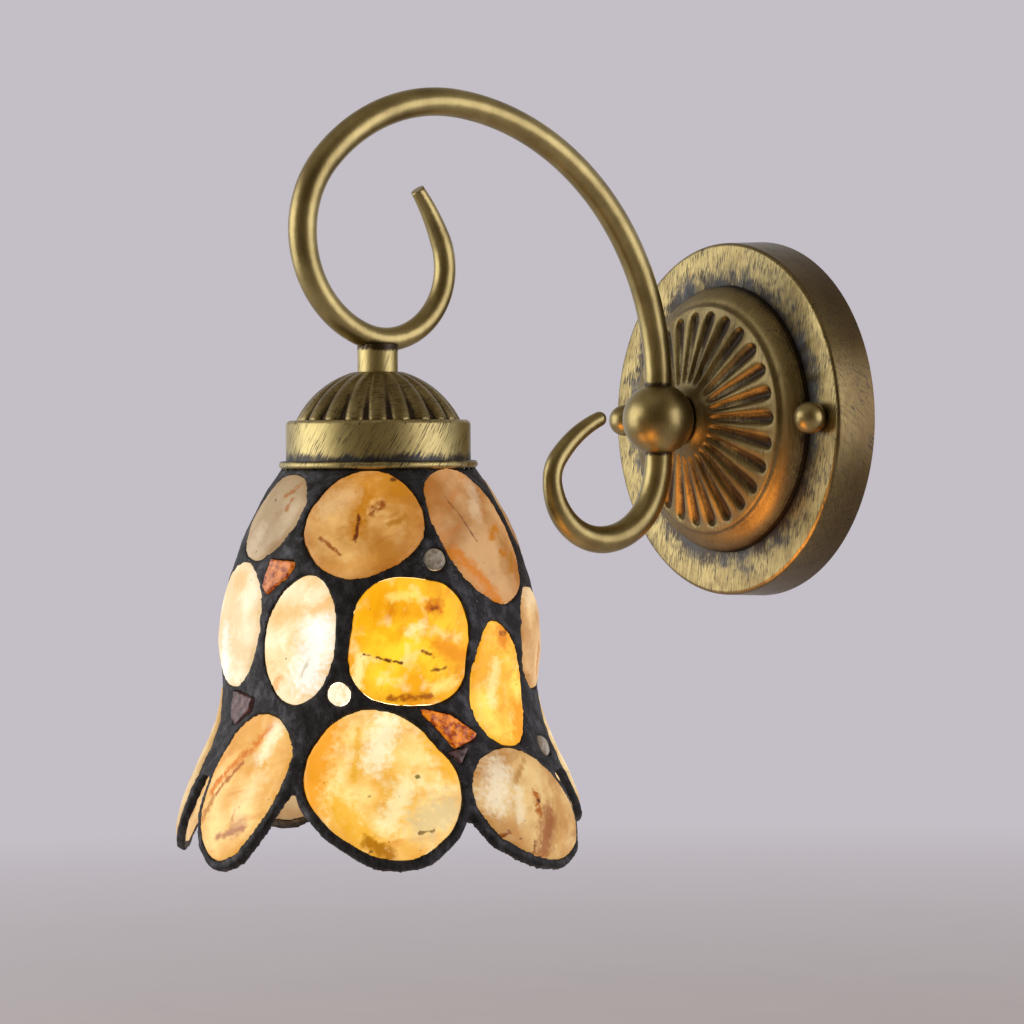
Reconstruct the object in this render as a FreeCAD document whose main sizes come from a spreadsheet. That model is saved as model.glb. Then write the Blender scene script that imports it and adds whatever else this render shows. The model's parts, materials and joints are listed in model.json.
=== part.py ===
import FreeCAD, Part
import Sketcher
import math
import os
from types import SimpleNamespace

# Wall sconce: round backplate with a fluted rosette, ball hub, scroll arm, fluted cap and a bell shade of
# stone slices set in solder. The wall is the plane Y = 0, the arm reaches towards -Y and +Z is up.
# The origin is the centre of the backplate's open back.

doc = FreeCAD.newDocument("wall_sconce")

driving = {
    # backplate, a spun pan
    "plate_radius": 65.5, "plate_back_radius": 66.2, "plate_depth": 16.7, "plate_wall": 1.0,
    "plate_edge": 1.6, "recess_radius": 49.9, "recess_depth": 4.0,
    # rosette, a cast dish that stands in the recess
    "rosette_wall": 2.4, "rosette_skirt": 3.0, "roll_radius": 9.0, "roll_inner_radius": 42.6,
    "roll_height": 11.2, "flute_outer_radius": 40.0, "flute_inner_radius": 14.6, "flute_drop": 2.0,
    "flute_rise": 7.8, "flute_wide": 2.1, "flute_narrow": 0.95, "flute_sink": 0.5, "throat_radius": 9.4,
    "throat_curve": 9.0, "skirt_gap": 0.4,
    # hub
    "hub_reach": 47.1, "ball_radius": 13.2, "thread_radius": 5.0, "thread_bore_radius": 3.6,
    "chamber_radius": 6.4, "seat_gap": 0.05, "socket_depth": 6.4,
    "washer_radius": 10.0, "washer_thickness": 1.0, "locknut_radius": 8.1, "locknut_thickness": 3.0,
    "nipple_tail": 1.5,
    # wall strip and its fasteners
    "strip_length": 118.0, "strip_width": 16.0, "strip_thickness": 1.5, "strip_step": 3.4,
    "strip_foot": 84.0, "strip_bend": 4.0, "slot_spacing": 60.0, "slot_length": 14.0, "slot_width": 4.6,
    "stud_spacing": 109.6, "stud_radius": 2.0, "stud_head_radius": 3.6, "stud_head_height": 1.7,
    "stud_nut_radius": 4.0, "stud_nut_height": 2.4, "cap_nut_radius": 5.9, "cap_nut_lift": 4.1,
    "stud_tip_gap": 1.2, "ground_offset": 14.0, "wire_hole_radius": 5.5, "ground_head_height": 2.4,
    "terminal_length": 22.0, "terminal_height": 13.0, "terminal_depth": 9.0, "terminal_lift": 14.0,
    "terminal_bore_radius": 1.7,
    # scroll arm, a bent tube whose end is swaged
    "tube_radius": 5.0, "tube_wall": 1.0, "arch_radius": 98.7, "crown_radius": 66.0, "loop_radius": 37.5,
    "curl_radius": 25.6, "tail_radius": 77.0, "loop_tube_radius": 4.3, "curl_tube_radius": 3.75,
    "exit_tube_radius": 4.15, "tail_tube_radius": 2.5,
    # lower scroll, a swaged rod
    "scroll_rise_radius": 38.5, "scroll_belly_radius": 25.2, "scroll_turn_radius": 22.4,
    "scroll_curl_radius": 12.6, "scroll_tail_radius": 45.0, "scroll_mid_rod_radius": 4.2,
    "scroll_curl_rod_radius": 3.5, "scroll_tip_rod_radius": 2.7,
    # cap and gallery, centred on the shade's axis
    "shade_reach": 170.6, "collar_radius": 7.05, "collar_thread": 4.0, "collar_lap": 2.4,
    "dome_curve": 32.5, "dome_height": 16.7, "dome_radius": 28.5, "dome_top_radius": 8.6, "dome_wall": 0.5,
    "lobe_depth": 1.75, "band_radius": 32.1, "band_height": 14.1, "band_wall": 1.0,
    "band_edge": 1.8, "band_lip": 5.0, "bead_radius": 1.35, "bead_out": 1.1,
    # lampholder
    "cap_locknut_radius": 7.6, "cap_locknut_height": 2.3,
    "holder_cap_neck_depth": 5.0, "holder_cap_shoulder": 3.0,
    "holder_cap_radius": 14.5, "holder_cap_top": 12.0, "holder_cap_neck": 7.2, "holder_cap_bottom": -3.0,
    "holder_radius": 19.3, "holder_wall": 2.6, "holder_bottom": -37.0, "holder_floor": 3.5,
    "shoulder_radius": 23.0, "shoulder_thickness": 2.0, "ring_radius": 26.5, "ring_thickness": 5.0,
    "plate_hole_gap": 0.5, "shell_radius": 14.2, "shell_wall": 0.4, "shell_length": 22.0,
    "contact_radius": 3.4, "contact_stem_radius": 1.2, "contact_thickness": 0.8, "contact_drop": 3.0,
    # lamp
    "lamp_radius": 30.0, "lamp_length": 104.0, "lamp_wall": 0.9,
    "lamp_cap_radius": 13.2, "lamp_cap_length": 26.0,
    "lamp_neck_radius": 12.4, "lamp_tip_radius": 4.6, "lamp_tip_height": 1.6, "lamp_cone_height": 3.0,
    "lamp_shell_wall": 0.6, "lamp_gap": 0.3, "lamp_waist_curve": 30.0, "lamp_neck_overlap": 4.0,
    # shade
    "shade_top_radius": 33.6, "shade_hem_radius": 71.5, "shade_height": 131.8,
    "shade_wall": 3.0, "lead_width": 3.2, "top_plate_thickness": 1.0,
    "nugget_radius": 3.8, "nugget_height": 4.0,
    "stone_gap": 0.12, "stone_proud": 0.5, "stone_reach": 22.0,
}

sheet = doc.addObject("Spreadsheet::Sheet", "Sizes")
for row, (name, value) in enumerate(driving.items(), start=1):
    sheet.set("A%d" % row, name)
    sheet.set("B%d" % row, str(value))
    sheet.setAlias("B%d" % row, name)
doc.recompute()


class Size:
    """A length with the sheet formula that gives it."""

    def __init__(self, value, formula):
        self.value = value
        self.formula = formula

    def joined(self, sign, other, value, swapped=False):
        other = other if isinstance(other, Size) else Size(other, repr(other))
        first, second = (other, self) if swapped else (self, other)
        return Size(value(first.value, second.value), "(%s %s %s)" % (first.formula, sign, second.formula))

    def __add__(self, other):
        return self.joined("+", other, lambda a, b: a + b)

    def __sub__(self, other):
        return self.joined("-", other, lambda a, b: a - b)

    def __mul__(self, other):
        return self.joined("*", other, lambda a, b: a * b)

    def __truediv__(self, other):
        return self.joined("/", other, lambda a, b: a / b)

    def __radd__(self, other):
        return self.joined("+", other, lambda a, b: a + b, True)

    def __rsub__(self, other):
        return self.joined("-", other, lambda a, b: a - b, True)

    def __rmul__(self, other):
        return self.joined("*", other, lambda a, b: a * b, True)

    def __neg__(self):
        return Size(-self.value, "(-%s)" % self.formula)


def root(size):
    return Size(math.sqrt(size.value), "sqrt(%s)" % size.formula)


mm = SimpleNamespace(**{name: Size(float(sheet.get(name)), "Sizes." + name) for name in driving})
zero = 0.0
nodes = []


def number(size):
    return size.value if isinstance(size, Size) else float(size)


def bind(item, prop, size):
    if isinstance(size, Size):
        item.setExpression(prop, size.formula)
    else:
        setattr(item, prop, size)


def place(item, x=zero, y=zero, z=zero, turn=None):
    if turn:
        item.Placement = FreeCAD.Placement(FreeCAD.Vector(), FreeCAD.Rotation(*turn))
    for axis, size in (("x", x), ("y", y), ("z", z)):
        if isinstance(size, Size):
            item.setExpression("Placement.Base." + axis, size.formula)


def keep(item, label):
    item.Label = label
    nodes.append(item)
    return item


def plane_of(body, role):
    return next(feature for feature in body.Origin.OriginFeatures if feature.Role == role)


def new_sketch(body, name, role):
    sketch = body.newObject("Sketcher::SketchObject", name)
    sketch.AttachmentSupport = [(plane_of(body, role), "")]
    sketch.MapMode = "FlatFace"
    return sketch


def fix_point(sketch, shape, end, x, y):
    """Holds a sketch point at x, y from the sketch's origin."""
    for kind, size, axis in (("DistanceX", x, -2), ("DistanceY", y, -1)):
        if isinstance(size, Size):
            index = sketch.addConstraint(Sketcher.Constraint(kind, -1, 1, shape, end, size.value))
            sketch.setExpression("Constraints[%d]" % index, size.formula)
        else:
            sketch.addConstraint(Sketcher.Constraint("PointOnObject", shape, end, axis))


def outline(sketch, corners):
    """Closed outline. A corner is (x, y), or (x, y, radius, side) where an arc runs to the next corner:
    side is 1 for an arc that turns left and -1 for one that turns right."""
    ends = []
    for index, corner in enumerate(corners):
        after = corners[(index + 1) % len(corners)]
        start = FreeCAD.Vector(number(corner[0]), number(corner[1]), zero)
        stop = FreeCAD.Vector(number(after[0]), number(after[1]), zero)
        if len(corner) == 2:
            shape = sketch.addGeometry(Part.LineSegment(start, stop), False)
            ends.append((shape, 1, 2))
            continue
        radius, side = corner[2].value, corner[3]
        chord = stop - start
        across = FreeCAD.Vector(-chord.y, chord.x, zero).normalize()
        rise = math.sqrt(max(radius ** 2 - chord.Length ** 2 / 4, zero))
        centre = (start + stop) * 0.5 + across * (side * rise)
        angles = [math.atan2(point.y - centre.y, point.x - centre.x) for point in (start, stop)]
        first, last = angles if side > 0 else angles[::-1]
        circle = Part.Circle(centre, FreeCAD.Vector(0, 0, 1), radius)
        shape = sketch.addGeometry(Part.ArcOfCircle(circle, first, last), False)
        index_of = sketch.addConstraint(Sketcher.Constraint("Radius", shape, radius))
        sketch.setExpression("Constraints[%d]" % index_of, corner[2].formula)
        ends.append((shape, 1, 2) if side > 0 else (shape, 2, 1))
    for index, corner in enumerate(corners):
        shape, start, stop = ends[index]
        after = ends[(index + 1) % len(ends)]
        sketch.addConstraint(Sketcher.Constraint("Coincident", shape, stop, after[0], after[1]))
        fix_point(sketch, shape, start, corner[0], corner[1])
    return sketch


def turned(name, role, corners):
    """A lathe-turned body: the outline is turned about the sketch's upright axis."""
    body = doc.addObject("PartDesign::Body", name)
    sketch = outline(new_sketch(body, name + "_profile", role), corners)
    turn = body.newObject("PartDesign::Revolution", name + "_turn")
    turn.Profile = sketch
    turn.ReferenceAxis = (sketch, ["V_Axis"])
    turn.Angle = 360
    return body


def cylinder(name, radius, height, x=zero, y=zero, z=zero, turn=None):
    item = doc.addObject("Part::Cylinder", name)
    bind(item, "Radius", radius)
    bind(item, "Height", height)
    place(item, x, y, z, turn)
    return item


def box(name, length, width, height, x=zero, y=zero, z=zero):
    item = doc.addObject("Part::Box", name)
    bind(item, "Length", length)
    bind(item, "Width", width)
    bind(item, "Height", height)
    place(item, x, y, z)
    return item


def cut(name, base, *tools):
    tool = tools[0]
    if len(tools) > 1:
        tool = doc.addObject("Part::MultiFuse", name + "_tools")
        tool.Shapes = list(tools)
    item = doc.addObject("Part::Cut", name)
    item.Base = base
    item.Tool = tool
    return item


def tube(name, radius, bore, height, x=zero, y=zero, z=zero, turn=None):
    outer = cylinder(name + "_outer", radius, height)
    inner = cylinder(name + "_bore", bore, height)
    item = cut(name, outer, inner)
    place(item, x, y, z, turn)
    return item


def hex_nut(name, corner_radius, bore, height, x=zero, y=zero, z=zero, turn=None):
    prism = doc.addObject("Part::Prism", name + "_hexagon")
    prism.Polygon = 6
    bind(prism, "Circumradius", corner_radius)
    bind(prism, "Height", height)
    inner = cylinder(name + "_bore", bore, height)
    item = cut(name, prism, inner)
    place(item, x, y, z, turn)
    return item


def group(name, items):
    item = doc.addObject("Part::Compound", name)
    item.Links = items
    return item


inward = (FreeCAD.Vector(1, 0, 0), -90)
downward = (FreeCAD.Vector(1, 0, 0), 180)
overrun = mm.plate_wall

# BACKPLATE
stud_x = mm.stud_spacing / 2
floor_y = mm.plate_depth - mm.recess_depth
plate = turned("plate_pan", "XY_Plane", [
    (mm.plate_back_radius, zero),
    (mm.plate_radius, mm.plate_edge - mm.plate_depth, mm.plate_edge, -1),
    (mm.plate_radius - mm.plate_edge, -mm.plate_depth),
    (mm.recess_radius, -mm.plate_depth),
    (mm.recess_radius, -floor_y),
    (mm.thread_radius + mm.seat_gap, -floor_y),
    (mm.thread_radius + mm.seat_gap, mm.plate_wall - floor_y),
    (mm.recess_radius + mm.plate_wall, mm.plate_wall - floor_y),
    (mm.recess_radius + mm.plate_wall, mm.plate_wall - mm.plate_depth),
    (mm.plate_radius - mm.plate_wall, mm.plate_wall - mm.plate_depth),
    (mm.plate_back_radius - mm.plate_wall, zero),
])
stud_hole = mm.stud_radius + mm.seat_gap
holes = [cylinder("plate_hole_" + side, stud_hole, mm.plate_wall * 3, x, -(mm.plate_depth + mm.plate_wall),
                  turn=inward) for side, x in (("left", -stud_x), ("right", stud_x))]
keep(cut("backplate", plate, *holes), "backplate")

# ROSETTE
# The roll rises from the skirt, the fluted face slopes up to the throat, and the ball seats on the throat.
skirt_radius = mm.recess_radius - mm.skirt_gap
foot_y = -(floor_y + mm.seat_gap)
roll_y = foot_y - mm.roll_height
flute_y = roll_y - mm.flute_drop
peak_y = flute_y - mm.flute_rise
throat_inner = mm.throat_radius - mm.rosette_wall / 2
seat_y = mm.seat_gap - mm.hub_reach + root(mm.ball_radius * mm.ball_radius - throat_inner * throat_inner)
rosette = turned("rosette", "XY_Plane", [
    (skirt_radius, foot_y),
    (skirt_radius, foot_y - mm.rosette_skirt, mm.roll_radius, -1),
    (mm.roll_inner_radius, roll_y),
    (mm.flute_outer_radius + mm.flute_wide, flute_y + mm.flute_sink),
    (mm.flute_outer_radius, flute_y),
    (mm.flute_inner_radius, peak_y, mm.throat_curve, 1),
    (mm.throat_radius, seat_y),
    (throat_inner, seat_y),
    (throat_inner, peak_y + mm.rosette_wall),
    (mm.flute_inner_radius, peak_y + mm.rosette_wall),
    (mm.flute_outer_radius, flute_y + mm.rosette_wall),
    (mm.roll_inner_radius, roll_y + mm.rosette_wall),
    (skirt_radius - mm.rosette_wall, foot_y - mm.rosette_skirt),
    (skirt_radius - mm.rosette_wall, foot_y),
])
flute_count = 26
run_x = mm.flute_outer_radius - mm.flute_inner_radius
run_y = flute_y - peak_y
run = root(run_x * run_x + run_y * run_y)
flute = new_sketch(rosette, "flute_profile", "XY_Plane")
flute_turn = 180 - math.degrees(math.atan2(run_x.value, run_y.value))
flute.AttachmentOffset = FreeCAD.Placement(
    FreeCAD.Vector(), FreeCAD.Rotation(FreeCAD.Vector(0, 0, 1), flute_turn))
bind(flute, "AttachmentOffset.Base.x", mm.flute_outer_radius - mm.flute_wide)
bind(flute, "AttachmentOffset.Base.y", flute_y - mm.flute_sink)
flute.setExpression("AttachmentOffset.Rotation.Angle",
                    "180deg - atan(%s / %s)" % (run_x.formula, run_y.formula))
outline(flute, [
    (zero, -mm.flute_wide, mm.flute_wide, 1),
    (mm.flute_wide, zero),
    (mm.flute_narrow, run - mm.flute_wide, mm.flute_narrow, 1),
    (zero, run - mm.flute_wide + mm.flute_narrow),
])
groove = rosette.newObject("PartDesign::Groove", "flute")
groove.Profile = flute
groove.ReferenceAxis = (flute, ["V_Axis"])
groove.Angle = 360
flutes = rosette.newObject("PartDesign::PolarPattern", "flutes")
flutes.Originals = [groove]
flutes.Axis = (plane_of(rosette, "Y_Axis"), [""])
flutes.Angle = 360
flutes.Occurrences = flute_count
rosette.Tip = flutes
keep(rosette, "rosette")

# HUB
hub_y = -mm.hub_reach
ball = doc.addObject("Part::Sphere", "ball")
bind(ball, "Radius", mm.ball_radius)
place(ball, y=hub_y)
chamber = doc.addObject("Part::Sphere", "ball_chamber")
bind(chamber, "Radius", mm.chamber_radius)
place(chamber, y=hub_y)
socket_radius = mm.tube_radius + mm.seat_gap
sockets = [
    cylinder("socket_rear", mm.thread_radius + mm.seat_gap, mm.ball_radius, y=hub_y, turn=inward),
    cylinder("socket_top", socket_radius, mm.ball_radius, y=hub_y),
    cylinder("socket_bottom", socket_radius, mm.ball_radius, y=hub_y, turn=downward),
]
keep(cut("hub_ball", ball, chamber, *sockets), "hub_ball")

nipple_y = -(mm.hub_reach - mm.chamber_radius)
nut_y = mm.plate_wall - floor_y + mm.washer_thickness
nipple_end_y = nut_y + mm.locknut_thickness + mm.nipple_tail
keep(tube("hub_nipple", mm.thread_radius, mm.thread_bore_radius, nipple_end_y - nipple_y, y=nipple_y,
          turn=inward), "hub_nipple")
keep(tube("hub_washer", mm.washer_radius, mm.thread_radius + mm.seat_gap, mm.washer_thickness,
          y=nut_y - mm.washer_thickness, turn=inward), "hub_washer")
keep(hex_nut("hub_locknut", mm.locknut_radius, mm.thread_radius + mm.seat_gap, mm.locknut_thickness, y=nut_y,
             turn=inward), "hub_locknut")

# WALL STRIP
# The strip's foot lies on the wall. Its ends step forward, so that the stud heads fit behind them.
half_foot, half_strip = mm.strip_foot / 2, mm.strip_length / 2
strip = doc.addObject("PartDesign::Body", "strip")
strip_profile = outline(new_sketch(strip, "strip_profile", "XY_Plane"), [
    (-half_foot, zero), (half_foot, zero),
    (half_foot + mm.strip_bend, -mm.strip_step), (half_strip, -mm.strip_step),
    (half_strip, -mm.strip_step - mm.strip_thickness),
    (half_foot + mm.strip_bend, -mm.strip_step - mm.strip_thickness),
    (half_foot, -mm.strip_thickness), (-half_foot, -mm.strip_thickness),
    (-half_foot - mm.strip_bend, -mm.strip_step - mm.strip_thickness),
    (-half_strip, -mm.strip_step - mm.strip_thickness),
    (-half_strip, -mm.strip_step), (-half_foot - mm.strip_bend, -mm.strip_step),
])
pad = strip.newObject("PartDesign::Pad", "strip_pad")
pad.Profile = strip_profile
bind(pad, "Length", mm.strip_width)
pad.Midplane = True
drill = mm.strip_step + mm.strip_thickness + overrun
slot_half = mm.slot_spacing / 2
slot_radius = mm.slot_width / 2
slot_run = mm.slot_length - mm.slot_width
strip_tools = []
for side, middle in (("left", -slot_half), ("right", slot_half)):
    strip_tools.append(box("slot_" + side, slot_run, drill, mm.slot_width, middle - slot_run / 2,
                           -drill, -slot_radius))
    for end, x in (("inner", middle - slot_run / 2), ("outer", middle + slot_run / 2)):
        strip_tools.append(cylinder("slot_" + side + "_" + end, slot_radius, drill, x, -drill, turn=inward))
for side, x in (("left", -stud_x), ("right", stud_x)):
    strip_tools.append(cylinder("strip_stud_hole_" + side, stud_hole, drill, x, -drill, turn=inward))
strip_tools.append(cylinder("ground_hole", stud_hole, drill, -mm.ground_offset, -drill, turn=inward))
strip_tools.append(cylinder("wire_hole", mm.wire_hole_radius, drill, zero, -drill, turn=inward))
keep(cut("wall_crossbar", strip, *strip_tools), "wall_crossbar")

stud_front = -(mm.plate_depth + mm.cap_nut_lift + mm.cap_nut_radius - mm.stud_tip_gap * 2)
strip_front = -mm.strip_step - mm.strip_thickness
studs, stud_nuts = [], []
for side, x in (("left", -stud_x), ("right", stud_x)):
    stud = turned("stud_" + side, "XY_Plane", [
        (zero, -mm.strip_step + mm.stud_head_height + mm.seat_gap),
        (mm.stud_head_radius, -mm.strip_step + mm.stud_head_height + mm.seat_gap),
        (mm.stud_head_radius, -mm.strip_step + mm.seat_gap),
        (mm.stud_radius, -mm.strip_step + mm.seat_gap), (mm.stud_radius, stud_front), (zero, stud_front),
    ])
    place(stud, x)
    studs.append(stud)
    stud_nuts.append(hex_nut("stud_nut_" + side, mm.stud_nut_radius, stud_hole, mm.stud_nut_height, x,
                             strip_front - mm.stud_nut_height - mm.seat_gap, turn=inward))
keep(group("crossbar_studs", studs), "crossbar_studs")
keep(group("stud_nuts", stud_nuts), "stud_nuts")

# The cap nuts are balls with a flat seat, drilled blind for the stud.
nut_base = root(mm.cap_nut_radius * mm.cap_nut_radius - mm.cap_nut_lift * mm.cap_nut_lift)
nut_seat_y = -(mm.plate_depth + mm.seat_gap)
for side, x in (("left", -stud_x), ("right", stud_x)):
    nut = turned("cap_nut_" + side, "XY_Plane", [
        (stud_hole, nut_seat_y),
        (nut_base, nut_seat_y, mm.cap_nut_radius, -1),
        (zero, nut_seat_y - mm.cap_nut_lift - mm.cap_nut_radius),
        (zero, stud_front - mm.stud_tip_gap),
        (stud_hole, stud_front - mm.stud_tip_gap),
    ])
    place(nut, x)
    keep(nut, "cap_nut_" + side)

ground = turned("ground_screw", "XY_Plane", [
    (zero, zero), (mm.stud_radius, zero), (mm.stud_radius, -mm.strip_thickness - mm.seat_gap),
    (mm.stud_head_radius, -mm.strip_thickness - mm.seat_gap),
    (mm.stud_head_radius, -mm.strip_thickness - mm.stud_head_height),
    (mm.stud_radius, -mm.strip_thickness - mm.ground_head_height),
    (zero, -mm.strip_thickness - mm.ground_head_height),
])
place(ground, -mm.ground_offset)
keep(ground, "ground_screw")

# The terminal block sits on the inside of the plate, above the hub's locknut.
terminal_y = mm.plate_wall - floor_y + mm.seat_gap
terminal = box("terminal_body", mm.terminal_length, mm.terminal_depth, mm.terminal_height,
               -mm.terminal_length / 2, terminal_y, mm.terminal_lift)
terminal_bore_shares = (-0.3, 0.0, 0.3)
bores = [cylinder("terminal_bore_%d" % index, mm.terminal_bore_radius, mm.terminal_height + overrun * 2,
                  mm.terminal_length * share, terminal_y + mm.terminal_depth / 2, mm.terminal_lift - overrun)
         for index, share in enumerate(terminal_bore_shares)]
keep(cut("terminal_block", terminal, *bores), "terminal_block")

# SCROLL ARM
# Each run of the path is (radius, turn in degrees, rod radius at its end).
arm_runs = [
    (mm.arch_radius, 84.0, mm.tube_radius), (mm.crown_radius, 54.0, mm.tube_radius),
    (mm.loop_radius, 40.0, mm.tube_radius), (mm.loop_radius, 72.2, mm.loop_tube_radius),
    (mm.curl_radius, 22.0, mm.exit_tube_radius), (mm.curl_radius, 109.3, mm.curl_tube_radius),
    (mm.tail_radius, 14.9, mm.tail_tube_radius),
]
bored_runs = 5
scroll_runs = [
    (mm.scroll_rise_radius, 23.5, mm.tube_radius), (mm.scroll_belly_radius, 64.5, mm.tube_radius),
    (mm.scroll_turn_radius, 60.0, mm.scroll_mid_rod_radius),
    (mm.scroll_turn_radius, 30.0, mm.scroll_curl_rod_radius),
    (mm.scroll_curl_radius, 40.0, mm.scroll_curl_rod_radius),
    (mm.scroll_tail_radius, 30.0, mm.scroll_tip_rod_radius),
]


def arc_run(start, heading, radius, turn):
    """End point, end heading and middle point of an arc in the plane X = 0."""
    side = 1 if turn > 0 else -1
    centre = start + FreeCAD.Vector(0, -math.sin(heading), math.cos(heading)) * (radius * side)
    def point(angle):
        return centre - FreeCAD.Vector(0, -math.sin(angle), math.cos(angle)) * (radius * side)
    middle, end = heading + math.radians(turn) / 2, heading + math.radians(turn)
    return point(end), end, point(middle), centre


def ring(point, heading, radius):
    direction = FreeCAD.Vector(0, math.cos(heading), math.sin(heading))
    return Part.Wire([Part.Circle(point, direction, radius).toShape()])


def bent_rod(start, heading, rod_radius, lead, runs, side):
    """A rod along tangent arcs, made of a straight lead, then one piece for each run."""
    direction = FreeCAD.Vector(0, math.cos(heading), math.sin(heading))
    pieces = [Part.makeCylinder(rod_radius, lead, start, direction)]
    point = start + direction * lead
    radius_now = rod_radius
    ends = []
    for bend_radius, turn, end_radius in runs:
        after, heading_after, middle, centre = arc_run(point, heading, bend_radius, turn * side)
        if end_radius == radius_now:
            face = Part.Face(ring(point, heading, radius_now))
            axis = FreeCAD.Vector(side, 0, 0)
            pieces.append(face.revolve(centre, axis, turn))
        else:
            path = Part.Wire([Part.Arc(point, middle, after).toShape()])
            ends_of_run = [ring(point, heading, radius_now), ring(after, heading_after, end_radius)]
            pieces.append(path.makePipeShell(ends_of_run, True, False))
        point, heading, radius_now = after, heading_after, end_radius
        ends.append((point, heading, radius_now))
    solid = pieces[0]
    for piece in pieces[1:]:
        solid = solid.fuse(piece)
    return solid.removeSplitter(), ends


def values(runs, growth=zero):
    return [(radius.value, turn, end.value + growth) for radius, turn, end in runs]


def solid_node(label, shape, x=zero, y=zero, z=zero):
    """A piece whose shape is made with Part's own functions."""
    item = doc.addObject("Part::Feature", label)
    item.Shape = shape
    place(item, x, y, z)
    return keep(item, label)


up, down = math.pi / 2, -math.pi / 2
lead = mm.ball_radius.value - mm.socket_depth.value
arm_start = FreeCAD.Vector(0, -mm.hub_reach.value, mm.socket_depth.value)
arm_solid = bent_rod(arm_start, up, mm.tube_radius.value, lead, values(arm_runs), 1)[0]
bore_start = arm_start - FreeCAD.Vector(0, 0, overrun.value)
bore, bore_ends = bent_rod(bore_start, up, (mm.tube_radius - mm.tube_wall).value, lead + overrun.value,
                           values(arm_runs[:bored_runs], -mm.tube_wall.value), 1)
axis_y = -mm.shade_reach.value
exit_top = bore_ends[-1][0].z
wire_exit = Part.makeCylinder(mm.thread_bore_radius.value - mm.tube_wall.value, exit_top,
                              FreeCAD.Vector(0, axis_y, zero), FreeCAD.Vector(0, 0, 1))
solid_node("arm_tube", arm_solid.cut(bore).cut(wire_exit))

scroll_start = FreeCAD.Vector(0, -mm.hub_reach.value, -mm.socket_depth.value)
scroll_solid, scroll_ends = bent_rod(scroll_start, down, mm.tube_radius.value, lead, values(scroll_runs), -1)
tip_point, tip_radius = scroll_ends[-1][0], scroll_ends[-1][2]
solid_node("lower_scroll", scroll_solid.fuse(Part.makeSphere(tip_radius, tip_point)).removeSplitter())

# COLLAR
# The collar stands on the dome, and its top is cut to the arm's tube, whose underside it laps.
dome_top = mm.dome_height.value
collar_top = exit_top - (mm.exit_tube_radius - mm.collar_lap).value
collar_blank = Part.makeCylinder(mm.collar_radius.value, collar_top - dome_top,
                                 FreeCAD.Vector(0, axis_y, dome_top))
collar_bore = Part.makeCylinder((mm.thread_radius + mm.seat_gap).value, mm.collar_thread.value,
                                FreeCAD.Vector(0, axis_y, dome_top))
collar_eye = Part.makeCylinder(mm.thread_bore_radius.value, exit_top, FreeCAD.Vector(0, axis_y, zero))
saddle = bent_rod(arm_start, up, mm.tube_radius.value, lead, values(arm_runs, mm.seat_gap.value), 1)[0]
solid_node("stem_collar", collar_blank.cut(saddle).cut(collar_bore).cut(collar_eye))

axis_place = -mm.shade_reach
nipple_top = mm.dome_height + mm.collar_thread - mm.seat_gap
nipple_bottom = mm.holder_cap_top - mm.holder_cap_neck_depth
keep(tube("lamp_nipple", mm.thread_radius, mm.thread_bore_radius, nipple_top - nipple_bottom,
          y=axis_place, z=nipple_bottom), "lamp_nipple")

# CAP DOME
# The dome is lofted through scalloped rings: each has one outward arc for each lobe and a crease between.
lobe_count = 20
lobe_turn = 2.0
dome_steps = 5
base, top = (mm.dome_radius.value, zero), (mm.dome_top_radius.value, mm.dome_height.value)
chord = math.hypot(base[0] - top[0], base[1] - top[1])
rise = math.sqrt(mm.dome_curve.value ** 2 - chord ** 2 / 4)
dome_centre = ((base[0] + top[0]) / 2 - rise * (top[1] - base[1]) / chord,
               (base[1] + top[1]) / 2 - rise * (base[0] - top[0]) / chord)
first_angle = math.atan2(base[1] - dome_centre[1], base[0] - dome_centre[0])
last_angle = math.atan2(top[1] - dome_centre[1], top[0] - dome_centre[0])


def scalloped_ring(radius, height):
    crease = radius * (1 - mm.lobe_depth.value / mm.dome_radius.value)
    def spot(reach, step):
        angle = math.radians(lobe_turn + step * 360 / lobe_count)
        return FreeCAD.Vector(reach * math.cos(angle), reach * math.sin(angle), height)
    arcs = [Part.Arc(spot(crease, lobe - 0.5), spot(radius, lobe), spot(crease, lobe + 0.5)).toShape()
            for lobe in range(lobe_count)]
    return Part.Wire(arcs)


rings = []
for step in range(dome_steps + 1):
    angle = first_angle + (last_angle - first_angle) * step / dome_steps
    rings.append(scalloped_ring(dome_centre[0] + mm.dome_curve.value * math.cos(angle),
                                dome_centre[1] + mm.dome_curve.value * math.sin(angle)))
dome = Part.makeLoft(rings, True, False)
inner_curve = mm.dome_curve.value - mm.lobe_depth.value - mm.dome_wall.value
dome = dome.cut(Part.makeSphere(inner_curve, FreeCAD.Vector(0, 0, dome_centre[1])))
dome = dome.cut(Part.makeCylinder((mm.thread_radius + mm.seat_gap).value, dome_top + overrun.value))
solid_node("cap_dome", dome, y=axis_place)


def on_axis(name, corners):
    """A turned piece on the shade's upright axis."""
    body = turned(name, "XZ_Plane", corners)
    place(body, y=axis_place)
    return keep(body, name)


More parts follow.
